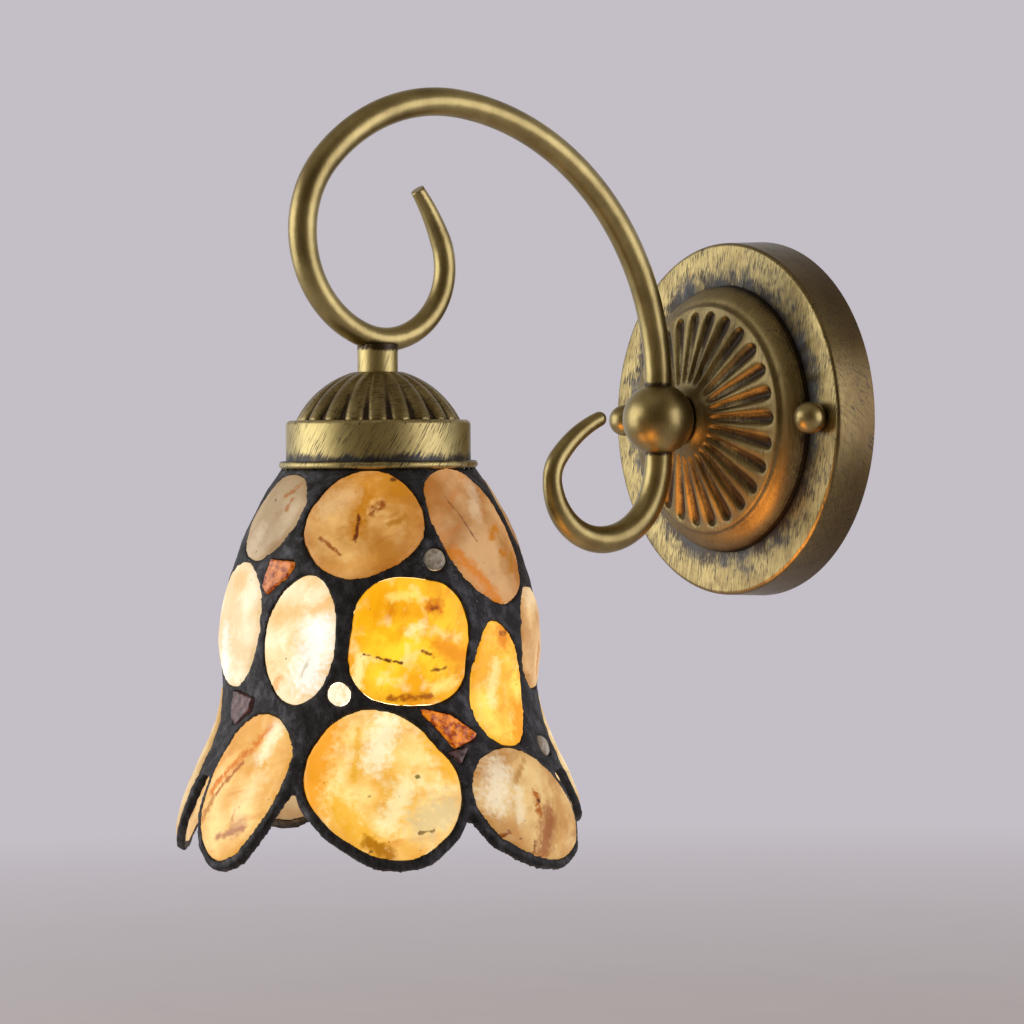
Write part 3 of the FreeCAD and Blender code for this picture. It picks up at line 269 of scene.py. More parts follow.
brassFor = {
    "backplate": brassMaterial(
        "antique_brass_brushed_pan", hairs=0.75, spread=0.35, turn=(0.12, 0.2, 0.1), patch=0.8,
        hollow=plateHollow, thick=1.0, side=plateSideBrushedAndShaded, sideTurn=(0.85, 0.0, 0.0), tones=0.55, brown=0.32),
    "gallery_band": brassMaterial(
        "antique_brass_brushed_band", hairs=1.1, spread=0.15, turn=(0, 0.6, 0), around=bandRadius, patch=0.25,
        hollow=bandFoot, thick=1.0, satin=0.42, tones=0.4),
    "rosette": brassMaterial(
        "antique_brass_cast_rosette", hairs=0.5, spread=0.2, patch=0.9, hollow=painted, frayed=0.55,
        thick=0.1, speckle=0.7, satin=0.45, brown=0.55),
    "cap_dome": brassMaterial(
        "antique_brass_pressed_dome", hairs=0.8, spread=0.3, lengthwise="X", around=bandRadius, patch=0.9,
        hollow=painted, frayed=0.45, thick=0.05, tones=0.35, brown=0.36),
    "hub_ball": brassMaterial(
        "antique_brass_turned_ball", hairs=0.1, patch=0.8, speckle=0.1, tones=0.12, brown=0.24),
    "arm_tube": brassMaterial(
        "antique_brass_drawn_tube", hairs=0.0, patch=0.8, hollow=tubeJoints, frayed=0.7, speckle=0.5,
        tones=0.1, brown=0.22),
    "stem_collar": brassMaterial(
        "antique_brass_turned_collar", hairs=0.6, around=0.006, turn=(0, 0.3, 0), patch=0.1,
        hollow=collarJoint, satin=0.42),
}
brassFor["lower_scroll"] = brassFor["arm_tube"]
brassFor["cap_nut_left"] = brassFor["cap_nut_right"] = brassFor["hub_ball"]
print("brass mixed")


# stone: slices of banded calcite, sawn and polished, 3 to 4 mm thick. The lamp's light through them is
# painted as a glow of their own colour, with soft clouds, rusty stains, thin dark cracks and painted white
# hot spots where the lamp shines through. Grain sizes are in millimetres, and so is thin: a flaw narrower
# than that is a broken line
stone = {
    "cloud": 13.0, "wave": 26.0, "paintedHotSpotGrain": 6.0, "stain": 10.0, "ragged": 2.0, "broken": 3.0, "speck": 1.6,
    "thin": 2.5,
    "crackColour": "#4A210B", "paintedHotSpotColour": "#FFFFD8", "body": 0.20, "roughness": 0.5, "specular": 0.3,
}
# cloud light and dark, stain, painted glow, painted white hot spots, amount of stain, direction of the stains
# in radians
slices = {
    "stone_upper_1": ("#CDB592", "#B79C76", "#A06A30", 0.80, 0.0, 0.4, 0.5),
    "stone_upper_2": ("#E4B168", "#C07F30", "#AE6218", 0.86, 0.05, 0.8, 0.3),
    "stone_upper_3": ("#CFA06C", "#B0763A", "#BE6A1B", 0.84, 0.0, 0.6, 0.6),
    "stone_upper_4": ("#DDBB8A", "#C0935E", "#A9642A", 0.60, 0.0, 0.6, 1.2),
    "stone_upper_5": ("#E3CFB0", "#CBA983", "#B5763C", 0.65, 0.0, 0.5, 0.1),
    "stone_upper_6": ("#DFB98A", "#C9955C", "#9C5B22", 0.62, 0.0, 0.8, 0.9),
    "stone_middle_1": ("#FAE8C8", "#EFD2A2", "#D9A055", 1.00, 0.4, 0.4, 0.2),
    "stone_middle_2": ("#FFEBC6", "#F4D294", "#E0A456", 1.02, 0.7, 0.4, 0.6),
    "stone_middle_3": ("#FBCB2E", "#F3A80F", "#CF7008", 1.06, 0.45, 0.7, 1.3),
    "stone_middle_4": ("#FDCF55", "#F7AE2C", "#D97F12", 1.05, 0.2, 0.6, 0.4),
    "stone_middle_5": ("#E6BD84", "#CB955A", "#AC6A28", 0.90, 0.05, 0.5, 0.1),
    "stone_middle_6": ("#FBE2AC", "#EDBE72", "#B9712C", 0.90, 0.4, 0.5, 0.7),
    "stone_middle_7": ("#FFF3D6", "#F2D6A0", "#D39C57", 0.95, 0.6, 0.3, 1.1),
    "stone_middle_8": ("#FFD267", "#F0A42C", "#A85412", 0.95, 0.5, 0.6, 0.2),
    "stone_middle_9": ("#FFEFC6", "#EFC985", "#C98A42", 0.95, 0.6, 0.4, 0.8),
    "stone_middle_10": ("#F9DDA0", "#E8B563", "#B06A26", 0.90, 0.4, 0.5, 0.5),
    "stone_hem_1": ("#EBCF9C", "#DCB676", "#BC7C3A", 0.88, 0.1, 0.5, 0.2),
    "stone_hem_2": ("#F8D084", "#EAAA4C", "#CC7A24", 0.98, 0.15, 0.6, 0.35),
    "stone_hem_3": ("#FBD584", "#F0B34A", "#D2821C", 1.02, 0.4, 0.6, 0.2),
    "stone_hem_4": ("#DFB878", "#C48C48", "#9C5E24", 0.90, 0.1, 0.7, 0.3),
    "stone_hem_5": ("#F6DCA8", "#E8BE7A", "#B97A3A", 0.90, 0.15, 0.4, 0.1),
    "stone_hem_6": ("#DCC69C", "#C09C68", "#9A6E40", 0.50, 0.0, 0.4, 0.6),
    "stone_hem_7": ("#DCC294", "#BE9660", "#946438", 0.48, 0.0, 0.5, 1.0),
}
# flaws in single slices, and near white spots painted where the lamp shines through: millimetres right of and
# above the middle, seen from outside, then lean in degrees, length, width, strength and colour
flawsAndPaintedBrightSpots = {
    "stone_upper_1": [
        (6, 9, 40, 5, 1.4, 0.9, "#A8682A"), (8, 5, 80, 3, 1.2, 0.8, "#A86322"),
        (-1, 6, 0, 0.4, 0.6, 0.9, "#4A2A12"), (-4, -8, 60, 8, 4, 0.6, "#DCC8A8")],
    "stone_upper_2": [
        (7, 13, 10, 20, 8, 0.8, "#C98011"), (-1, 4, 80, 12, 4, 0.9, "#BE760A"),
        (-1.7, -0.9, 84, 8, 0.9, 1.0, "#6A2D08"), (-10.7, -6.6, -36, 9, 0.9, 0.9, "#944A12"),
        (5, 6, 30, 4, 1.8, 0.9, "#8A3F0C"), (11, 1, 20, 7, 1.5, 0.8, "#AC6C0C"),
        (-9, 8, 30, 9, 5, 0.5, "#F0C890"), (9.4, 15.5, 0, 0.6, 0.8, 0.9, "#5A2D10"),
        (-4, -13, 10, 16, 3, 0.5, "#D08A34")],
    "stone_upper_3": [
        (6, 1, 25, 5, 2.2, 0.9, "#BE740C"), (8, -6, 0, 2, 1.8, 0.9, "#B86E0C"),
        (-7, -15, -52, 26, 3.2, 0.9, "#CE760E"), (-8, 6, -66, 16, 0.4, 0.8, "#6A3C20"),
        (12, -9, 60, 6, 1.4, 0.8, "#AE7011"), (2, 12, 60, 9, 4, 0.5, "#E0C4A0")],
    "stone_middle_1": [(2, 15, 0, 6, 5, 0.7, "#EABE7C"), (-4, -10, 80, 12, 6, 0.7, "#FFFBEE")],
    "stone_middle_2": [
        (6, -5, 70, 16, 8, 0.9, "#FFFDF2"), (-4, 8, 20, 8, 4, 0.7, "#ECBC74"),
        (8, 11, 30, 5, 3, 0.7, "#EBB468"), (-9, -16, 60, 6, 2, 0.7, "#E09A44"),
        (3, -9, 60, 7, 0.8, 0.6, "#C8B48C")],
    "stone_middle_3": [
        (-14, 10, 60, 14, 5, 0.8, "#EEA202"), (-17, -10, 80, 9, 2.6, 0.7, "#FFEFA8"),
        (12, -15, 20, 7, 2.6, 0.6, "#FFE784"), (-2, 15, 0, 8, 2.4, 0.6, "#FFE47A"),
        (9, 11.5, 0, 2, 3.6, 1.0, "#D07402"), (9, 11, 0, 0.8, 1.2, 0.9, "#8A4204"),
        (14, -3.5, -25, 9, 4, 0.9, "#E58D04"), (-9, -5.7, -13, 13, 0.6, 0.95, "#5A2708"),
        (6, -4.4, -25, 4, 0.9, 0.9, "#7A3608"), (10, -9.8, 15, 5, 0.8, 0.9, "#6A2E06"),
        (0, -18.5, 2, 14, 1.4, 0.9, "#9A4E04"), (-8, 3, -40, 8, 2.5, 0.6, "#EEA605"),
        (2, 4, 30, 6, 2.2, 0.6, "#FFF0B0")],
    "stone_middle_4": [
        (1, 19, 80, 4, 5, 0.9, "#D97E05"), (1, 19, 0, 3, 1.0, 0.8, "#8A4510"),
        (7, -14, 70, 12, 6, 0.9, "#EE9105"), (-4, 2, 80, 12, 3.5, 0.7, "#FFEA9C"),
        (-2, -18, 0, 8, 3, 0.7, "#EEA00E")],
    "stone_middle_5": [(0, 14, 0, 6, 6, 0.6, "#EBD3AA"), (4, -8, 70, 8, 3, 0.7, "#B86C28")],
    "stone_hem_1": [(2, -16, 0, 8, 4, 0.7, "#A06A34"), (-6, 0, 80, 20, 3, 0.5, "#C08A48")],
    "stone_hem_2": [
        (-3, 9, 46, 32, 2.0, 0.95, "#D57407"), (-6, 2, 50, 14, 1.0, 0.9, "#A85507"),
        (1, -15, 15, 14, 1.5, 0.8, "#A05C40"), (4, -13, 40, 4, 4.0, 0.6, "#B47858"),
        (-14, -8, 60, 8, 2.0, 0.8, "#B0670B"), (1.5, -9, 80, 3, 0.7, 0.9, "#B0560A"),
        (8, 15, 70, 10, 4, 0.8, "#FFF0C4"), (6, -2, 60, 12, 5, 0.5, "#FFE2A4")],
    "stone_hem_3": [
        (-22, 7, 75, 26, 8, 0.9, "#EC9910"), (-9, -12, -45, 16, 6, 0.8, "#E8A818"),
        (20, 10, -60, 14, 5, 0.8, "#EAA81A"), (-8, 10, 85, 16, 1.6, 0.7, "#E5A61D"),
        (0, 14, 70, 12, 6, 0.8, "#FFF4C8"), (5, -6, 60, 14, 5, 0.8, "#FFEDB0"),
        (18, -10, 30, 8, 8, 0.8, "#D0B886"), (15, -15, 10, 5, 0.6, 0.9, "#7A5A2A"),
        (-1, -20, -30, 9, 3.0, 0.95, "#A86A08"), (-4, -21, 0, 0.6, 0.9, 0.9, "#4A2810"),
        (12, 3, 0, 0.4, 0.8, 0.9, "#6A6020"), (-4, -3, 0, 0.4, 0.7, 0.9, "#6A6020")],
    "stone_hem_4": [
        (-16, 8, 60, 10, 7, 0.8, "#EEDDBC"), (2, -9, 60, 12, 6, 0.85, "#955220"),
        (0, 1.4, 80, 6, 2.4, 1.0, "#A85D0A"), (0.6, 1.8, 0, 0.8, 0.8, 0.9, "#4A2408"),
        (-4, 12, 40, 10, 1.4, 0.8, "#B07C3C"), (-18, -8, 20, 4, 0.9, 0.95, "#7E3F10"),
        (12, -4, 70, 14, 5, 0.7, "#C08A48"), (-6, -14, 80, 6, 0.8, 0.9, "#8A5424"),
        (-9, 1, 70, 9, 3, 0.6, "#F0DEB8")],
    "stone_hem_5": [(4, -14, 60, 8, 4, 0.7, "#A86E4C"), (-2, 2, 0, 0.6, 1.2, 0.8, "#6A3C20")],
}


# a soft or sharp flaw, or a painted bright spot: a short line with a ragged border
def flawMask(add, spot, ragged, flaw):
    right, above, lean, length, width, strength = flaw[:6]
    moved = add("Mapping", {
        "Vector": spot, "Location": (right * mm, above * mm, 0), "Rotation": (0, 0, math.radians(lean))},
        vector_type="TEXTURE")
    along = add("Math", {0: add("SeparateXYZ", {0: moved}, "X")}, operation="ABSOLUTE")
    beyond = add("Math", {0: along, 1: length * mm / 2}, operation="SUBTRACT")
    beyond = add("Math", {0: beyond, 1: 0.0}, operation="MAXIMUM")
    beside = add("CombineXYZ", {"X": beyond, "Y": add("SeparateXYZ", {0: moved}, "Y")})
    uneven = add("Math", {0: ragged, 1: 0.5}, operation="SUBTRACT")
    uneven = add("Math", {0: uneven, 1: (width * 1.6 + 1.2) * mm}, operation="MULTIPLY")
    off = add("Math", {0: distanceFrom(add, beside, (0, 0, 0)), 1: uneven}, operation="ADD")
    return add("MapRange", {0: off, 1: 0.25 * width * mm, 2: 1.05 * width * mm, 3: strength, 4: 0.0})


# a stone lit from behind: its colour is painted as a glow for the lamp's light through it, and a share of it,
# body, is what the room's light meets
def stoneWithPaintedGlow(add, shader, colour, body, strength, roughness, cloud, depth, relief):
    setInputs(shader, {
        "Base Color": add("Mix", {
            0: 1.0, 6: colour, 7: (body, body, body, 1.0)}, 2, data_type="RGBA", blend_type="MULTIPLY"),
        "Emission Color": colour, "Emission Strength": strength, "Roughness": roughness,
        "Normal": add("Bump", {"Height": cloud, "Distance": depth * mm, "Strength": relief})})


def stoneMaterial(name, look, seed, flawAndBrightSpotList):
    light, dark, stain, paintedGlow, paintedHotSpotShare, stains, turn = look
    material, shader, add, place = newMaterial(name)
    spot = add("Attribute", output="Vector", attribute_name="spot")
    shift = (seed * 1.7, seed * 0.9, seed * 2.3)
    wave = grain(add, place, stone["wave"], origin=shift, detail=1.0)
    cloud = grain(add, place, stone["cloud"], origin=shift, detail=4.0)
    smear = grain(add, spot, (stone["stain"] * 1.6, stone["stain"] * 0.5, 1.0),
                  origin=shift[::-1], turn=(0, 0, turn), detail=4.0, roughness=0.6)
    ragged = grain(add, spot, stone["ragged"], origin=(seed, 2, 5))
    broken = grain(add, spot, stone["broken"], origin=(4, seed, 3), detail=2.0)
    broken = add("MapRange", {0: broken, 1: 0.30, 2: 0.44})
    speck = grain(add, place, stone["speck"], origin=(5, 1, seed), detail=1.0)
    # noise for the painted white hot spots
    paintedHotSpotGrain = grain(add, place, stone["paintedHotSpotGrain"], origin=(seed, 9, 2), roughness=0.5)

    clouded = add("Math", {0: cloud, 1: 0.6}, operation="MULTIPLY")
    waved = add("Math", {0: wave, 1: 0.4}, operation="MULTIPLY")
    banded = add("Math", {0: clouded, 1: waved}, operation="ADD")
    smeared = add("MapRange", {0: smear, 1: 0.54, 2: 0.74})
    rim = add("Attribute", output="Fac", attribute_name="rim")
    edge = add("MapRange", {0: rim, 1: 0.70, 2: 1.0, 3: 0.0, 4: 0.5})
    # painted white hot spots: bright patches where the lamp shines through the slice
    paintedHotSpot = add("MapRange", {0: paintedHotSpotGrain, 1: 0.54, 2: 0.70})
    layers = [
        (add("MapRange", {0: banded, 1: 0.40, 2: 0.60}), dark),
        (add("Math", {0: smeared, 1: stains}, operation="MULTIPLY", use_clamp=True), stain),
        (add("Math", {0: edge, 1: stains}, operation="MULTIPLY", use_clamp=True), stain),
        (add("Math", {0: paintedHotSpot, 1: paintedHotSpotShare}, operation="MULTIPLY", use_clamp=True),
         add("Mix", {0: 0.6, 6: light, 7: stone["paintedHotSpotColour"]}, 2, data_type="RGBA"))]
    # flaws, and painted bright spots where the lamp shines through
    for flaw in flawAndBrightSpotList:
        mask = flawMask(add, spot, ragged, flaw)
        if flaw[4] < stone["thin"]:
            mask = add("Math", {0: mask, 1: broken}, operation="MULTIPLY")
        layers.append((mask, flaw[6]))
    layers.append((add("MapRange", {0: speck, 1: 0.76, 2: 0.80, 3: 0.0, 4: 0.7}), stone["crackColour"]))
    colour = light
    for mask, layer in layers:
        colour = add("Mix", {0: mask, 6: colour, 7: layer}, 2, data_type="RGBA")

    # painted glow: brighter where the clouds are thin, times the slice's painted glow
    strength = add("MapRange", {0: cloud, 1: 0.30, 2: 0.70, 3: 1.12, 4: 0.90})
    strength = add("Math", {0: strength, 1: paintedGlow}, operation="MULTIPLY")
    stoneWithPaintedGlow(add, shader, colour, stone["body"], strength, stone["roughness"], cloud, 0.4, 0.3)
    shader.inputs["Specular IOR Level"].default_value = stone["specular"]
    return material


# small rounds are grey, one of them bright: tint tells which, and how strongly each is painted as glowing
# with the lamp's light through it
def nuggetMaterial():
    material, shader, add, place = newMaterial("calcite_nuggets")
    cloud = grain(add, place, 2.2, detail=4.0, roughness=0.7)
    tint = add("Attribute", output="Fac", attribute_name="tint")
    grey = add("MapRange", {0: cloud, 1: 0.35, 2: 0.65})
    grey = add("Mix", {0: grey, 6: "#C9BCA9", 7: "#8A7B69"}, 2, data_type="RGBA")
    pale = add("MapRange", {0: cloud, 1: 0.4, 2: 0.6})
    pale = add("Mix", {0: pale, 6: "#FFF3DA", 7: "#E9CDA0"}, 2, data_type="RGBA")
    colour = add("Mix", {0: tint, 6: grey, 7: pale}, 2, data_type="RGBA")
    # painted glow: the bright round glows strongly, the grey ones hardly
    strength = add("MapRange", {0: tint, 3: 0.12, 4: 1.0})
    stoneWithPaintedGlow(add, shader, colour, 0.6, strength, 0.25, cloud, 0.3, 0.5)
    return material


# chips are sawn jasper, from orange to violet brown: tint tells which, and the orange ones are painted as
# glowing more with the lamp's light through them
def chipMaterial():
    material, shader, add, place = newMaterial("jasper_chips")
    cloud = grain(add, place, 2.6, detail=4.0, roughness=0.65)
    tint = add("Attribute", output="Fac", attribute_name="tint")
    warm = add("MapRange", {0: cloud, 1: 0.40, 2: 0.62})
    warm = add("Mix", {0: warm, 6: "#F08A1C", 7: "#8E2E08"}, 2, data_type="RGBA")
    cold = add("MapRange", {0: cloud, 1: 0.38, 2: 0.62})
    cold = add("Mix", {0: cold, 6: "#7B565A", 7: "#45302F"}, 2, data_type="RGBA")
    colour = add("Mix", {0: tint, 6: warm, 7: cold}, 2, data_type="RGBA")
    # painted glow: strong for orange chips, weak for violet brown ones
    strength = add("MapRange", {0: tint, 3: 0.75, 4: 0.20})
    stoneWithPaintedGlow(add, shader, colour, 0.5, strength, 0.3, cloud, 0.2, 0.5)
    return material


stoneFor = {"stone_nuggets": nuggetMaterial(), "stone_chips": chipMaterial()}
for seed, (nodeName, look) in enumerate(sorted(slices.items()), start=1):
    stoneFor[nodeName] = stoneMaterial("calcite_slice_" + nodeName[6:], look, seed, flawsAndPaintedBrightSpots.get(nodeName, []))
print("stones coloured")

# solder: tin lead run thickly between the slices and darkened with patina: black brown, lumpy, with wiped
# grey smears and hairline scratches
solder = {"black": "#1C1A1B", "grey": "#4A494F", "scratch": "#80808A", "lump": 6.0, "smear": 9.0}


def solderMaterial():
    material, shader, add, place = newMaterial("darkened_solder")
    lump = grain(add, place, solder["lump"], detail=4.0, roughness=0.6)
    narrow = solder["smear"] * 0.45
    smear = grain(add, place, (narrow, narrow, solder["smear"]), turn=(0.5, 0.5, 0), detail=5.0,
                  roughness=0.7)
    hair = grain(add, place, (0.4, 0.4, 5.0), turn=(0.9, 0.5, 0), detail=1.0)
    wiped = add("MapRange", {0: smear, 1: 0.46, 2: 0.68, 3: 0.0, 4: 0.75})
    thin = add("MapRange", {0: hair, 1: 0.68, 2: 0.74})
    here = add("MapRange", {0: lump, 1: 0.50, 2: 0.62})
    scratch = add("Math", {0: thin, 1: here}, operation="MULTIPLY")
    colour = add("Mix", {0: wiped, 6: solder["black"], 7: solder["grey"]}, 2, data_type="RGBA")
    colour = add("Mix", {0: scratch, 6: colour, 7: solder["scratch"]}, 2, data_type="RGBA")
    relief = add("Math", {0: smear, 1: 0.3}, operation="MULTIPLY")
    relief = add("Math", {0: lump, 1: relief}, operation="ADD")
    setInputs(shader, {
        "Base Color": colour, "Roughness": add("MapRange", {0: wiped, 3: 0.62, 4: 0.42}), "Metallic": 0.5,
        "Normal": add("Bump", {"Height": relief, "Distance": 0.8 * mm, "Strength": 0.5})})
    return material


# finishes of the pieces that hardly show, mottled softly with one grain size in millimetres
def simpleMaterial(name, light, dark, size, roughness, metallic=0.0, coat=0.0):
    material, shader, add, place = newMaterial(name)
    mottle = grain(add, place, size, detail=4.0, roughness=0.65)
    tone = add("MapRange", {0: mottle, 1: 0.35, 2: 0.65})
    setInputs(shader, {
        "Base Color": add("Mix", {0: tone, 6: light, 7: dark}, 2, data_type="RGBA"),
        "Roughness": add("MapRange", {0: mottle, 1: 0.3, 2: 0.7, 3: roughness * 0.85, 4: roughness * 1.15}),
        "Metallic": metallic, "Coat Weight": coat,
        "Normal": add("Bump", {"Height": mottle, "Distance": 0.02 * mm, "Strength": 0.5})})
    return material


# frosted glass with the light on: brightest round the globe, warmer at the neck
def lampGlassMaterial():
    material, shader, add, place = newMaterial("frosted_lamp_glass")
    height = add("SeparateXYZ", {0: place}, "Z")
    bright = add("MapRange", {0: height, 1: lampLow.z, 2: lampHigh.z - 15 * mm, 3: 1.0, 4: 0.35})
    frost = grain(add, place, 0.6, detail=2.0)
    setInputs(shader, {
        "Base Color": add("Mix", {0: bright, 6: "#FFE3B0", 7: "#FFF6E4"}, 2, data_type="RGBA"),
        "Emission Color": add("Mix", {0: bright, 6: "#FFC878", 7: "#FFE9C4"}, 2, data_type="RGBA"),
        "Emission Strength": add("Math", {0: bright, 1: 5.0}, operation="MULTIPLY"), "Roughness": 0.5,
        "Normal": add("Bump", {"Height": frost, "Distance": 0.02 * mm, "Strength": 0.4})})
    return material


# phenolic holder: moulded, dark brown black, satin. Zinc plate: bright, with brush marks. Painted steel: matt
# black. Polyamide block: moulded, off white, satin. Lamp cap: rolled aluminium, black glass round its contact
plainFor = {
    "solder": solderMaterial(),
    "lamp_glass": lampGlassMaterial(),
    "phenolic": simpleMaterial("moulded_phenolic", "#1B1615", "#110E0D", 2.5, 0.38, coat=0.2),
    "plate_steel": simpleMaterial("black_painted_steel", "#2B2A2B", "#1C1B1C", 1.2, 0.55),
    "contact_brass": simpleMaterial("bright_brass_strip", "#D9BC74", "#B8964C", (0.4, 0.4, 5.0), 0.26, 1.0),
    "lamp_metal": simpleMaterial("aluminium_lamp_cap", "#D2D3D4", "#AEB0B3", (0.5, 0.5, 4.0), 0.30, 1.0),
    "lamp_black": simpleMaterial("black_cap_glass", "#141315", "#0A0A0B", 2.0, 0.16),
    "zinc_steel": simpleMaterial("zinc_plated_steel", "#C9CBCB", "#9B9FA0", (3.0, 0.5, 0.5), 0.36, 1.0),
    "terminal_plastic": simpleMaterial("moulded_polyamide", "#E9E7DD", "#D9D6C8", 3.0, 0.45),
}
print("finishes ready")


# pieces from the frame's shapes

def mergedCopy(nodeName):
    mesh = nodes[nodeName].data.copy()
    mesh.name = nodeName + "_finished"
    shape = bmesh.new()
    shape.from_mesh(mesh)
    bmesh.ops.remove_doubles(shape, verts=shape.verts, dist=0.004 * mm)
    shape.to_mesh(mesh)
    shape.free()
    piece = bpy.data.objects.new(nodeName + "_finished", mesh)
    bpy.context.scene.collection.objects.link(piece)
    return piece


def applyModifiers(piece):
    shaped = bpy.data.meshes.new_from_object(piece.evaluated_get(bpy.context.evaluated_depsgraph_get()))
    old = piece.data
    piece.modifiers.clear()
    piece.data = shaped
    bpy.data.meshes.remove(old)
    shaped.name = piece.name


def dress(piece, nodeName, material, sharpAngle, flatFaces=False):
    piece.data.shade_smooth()
    piece.data.set_sharp_from_angle(angle=math.radians(sharpAngle))
    if flatFaces:
        flatten = piece.modifiers.new("flat_faces_stay_flat", "WEIGHTED_NORMAL")
        flatten.keep_sharp = True
    piece.data.materials.clear()
    piece.data.materials.append(material)
    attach(piece, bodyOf[nodeName])
    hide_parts(nodeName)


# an even mesh of small squares, softened as polishing or casting softens an edge
def remeshed(nodeName, voxel, smoothing, prepare=None, reshape=None):
    piece = mergedCopy(nodeName)
    if prepare:
        prepare(piece)
    remesh = piece.modifiers.new("even_mesh", "REMESH")
    remesh.mode = "VOXEL"
    remesh.voxel_size = voxel * mm
    applyModifiers(piece)
    if reshape:
        reshape(piece)
    soften = piece.modifiers.new("soften", "SMOOTH")
    soften.factor = 0.5
    soften.iterations = smoothing
    applyModifiers(piece)
    return piece


def paint(piece, name, values):
    layer = piece.data.attributes.new(name, "FLOAT", "POINT")
    layer.data.foreach_set("value", values)


# 0 up to where a border starts, and 1 from where it is over
def fade(distance, over):
    return min(max(distance / over, 0.0), 1.0)


# smooth pushes, the same for every piece, so that neighbours stay fitted
def pushed(point, layers):
    push = Vector()
    for size, reach, seed in layers:
        place = point / (size * mm) + Vector((seed, seed * 2.0, seed * 3.0))
        push += noise.noise_vector(place) * (reach * mm)
    return push


# noise size in millimetres, reach in millimetres and seed, for the uneven outlines that neighbours share. The
# whole shade is inset a little, so that no lump stands out of the frame's own size, and calm under the bead
shadeWork = {
    "outline": ((9.0, 0.55, 11.0), (3.2, 0.22, 4.0)), "inset": 0.12, "calm": 1.5, "calmOver": 3, "seed": 1,
}
noise.seed_set(shadeWork["seed"])  # unseeded, the outlines would differ from run to run


# moves points about in the shell's own directions: sideways for outlines and outward for lumps
def shapeShadePiece(piece, outline, lumps):
    for vertex in piece.data.vertices:
        point = vertex.co.copy()
        outward = Vector((point.x - shadeX, point.y - shadeY, 0)).normalized()
        sideways = pushed(point, outline)
        sideways -= outward * sideways.dot(outward)
        lump = sum(noise.noise(point / (size * mm) + Vector((seed, 0, 0))) * reach * mm
                   for size, reach, seed in lumps)
        top = fade(shadeHigh.z - shadeWork["calm"] * mm - point.z, shadeWork["calmOver"] * mm)
        vertex.co = point + (sideways + outward * (lump - shadeWork["inset"] * mm)) * top


# the points of each loose part of a mesh
def islandsOf(piece):
    shape = bmesh.new()
    shape.from_mesh(piece.data)
    shape.verts.ensure_lookup_table()
    seen, islands = set(), []
    for start in shape.verts:
        if start.index in seen:
            continue
        island, edge = [], [start]
        seen.add(start.index)
        while edge:
            vertex = edge.pop()
            island.append(vertex.index)
            for link in vertex.link_edges:
                other = link.other_vert(vertex)
                if other.index not in seen:
                    seen.add(other.index)
                    edge.append(other)
        islands.append(island)
    shape.free()
    return islands


# spot: place across and above the slice's middle; rim: 0 in the middle and 1 at the outline, by its ellipse
def paintRims(piece):
    points = [vertex.co for vertex in piece.data.vertices]
    centre = sum(points, Vector()) / len(points)
    outward = Vector((centre.x - shadeX, centre.y - shadeY, 0)).normalized()
    across = Vector((-outward.y, outward.x, 0))
    spots = [((point - centre).dot(across), point.z - centre.z) for point in points]
    spreadX = sum(x * x for x, z in spots) / len(spots)
    spreadZ = sum(z * z for x, z in spots) / len(spots)
    lean = 0.5 * math.atan2(2 * sum(x * z for x, z in spots) / len(spots), spreadX - spreadZ)
    along, beside = math.cos(lean), math.sin(lean)
    turned = [(x * along + z * beside, z * along - x * beside) for x, z in spots]
    halfLong = max(abs(u) for u, v in turned)
    halfWide = max(abs(v) for u, v in turned)
    paint(piece, "rim", [min(math.hypot(u / halfLong, v / halfWide), 1.0) for u, v in turned])
    spotLayer = piece.data.attributes.new("spot", "FLOAT_VECTOR", "POINT")
    spotLayer.data.foreach_set("vector", [value for x, z in spots for value in (x, z, 0.0)])


# each loose part takes the tint of the bearing that is nearest to its own
def paintTints(piece, tints):
    values = [0.0] * len(piece.data.vertices)
    for island in islandsOf(piece):
        centre = sum((piece.data.vertices[index].co for index in island), Vector()) / len(island)
        bearing = math.degrees(math.atan2(centre.y - shadeY, centre.x - shadeX))
        nearest = min(tints, key=lambda angle: abs((bearing - angle + 180) % 360 - 180))
        for index in island:
            values[index] = tints[nearest]
    paint(piece, "tint", values)


# slices keep their CAD shape, with softened edges and a hand ground, chipped outline
sliceWork = {"voxel": 0.8, "smoothing": 2, "lumps": ((7.0, 0.3, 2.0),)}
for nodeName in sorted(slices):
    piece = remeshed(nodeName, sliceWork["voxel"], sliceWork["smoothing"])
    paintRims(piece)
    shapeShadePiece(piece, shadeWork["outline"], sliceWork["lumps"])
    dress(piece, nodeName, stoneFor[nodeName], 50)

# bearing in degrees round the shade: colour and painted glow of the nuggets and of the chips, orange to
# violet
smallStones = {
    "voxel": 0.5, "smoothing": 1, "outline": ((2.5, 0.2, 7.0),), "lumps": ((2.5, 0.25, 5.0),),
    "tints": {
        "stone_nuggets": {-11: 0.05, -48.5: 1.0, 35.5: 0.1, 107.5: 0.2, 168: 0.1, -155: 0.3},
        "stone_chips": {-76: 0.15, -93.5: 0.95, -10.5: 0.0, -8: 1.0, 148: 0.5},
    },
}
for nodeName, tints in smallStones["tints"].items():
    piece = remeshed(nodeName, smallStones["voxel"], smallStones["smoothing"])
    paintTints(piece, tints)
    shapeShadePiece(piece, smallStones["outline"], smallStones["lumps"])
    dress(piece, nodeName, stoneFor[nodeName], 50)
print("stones shaped")

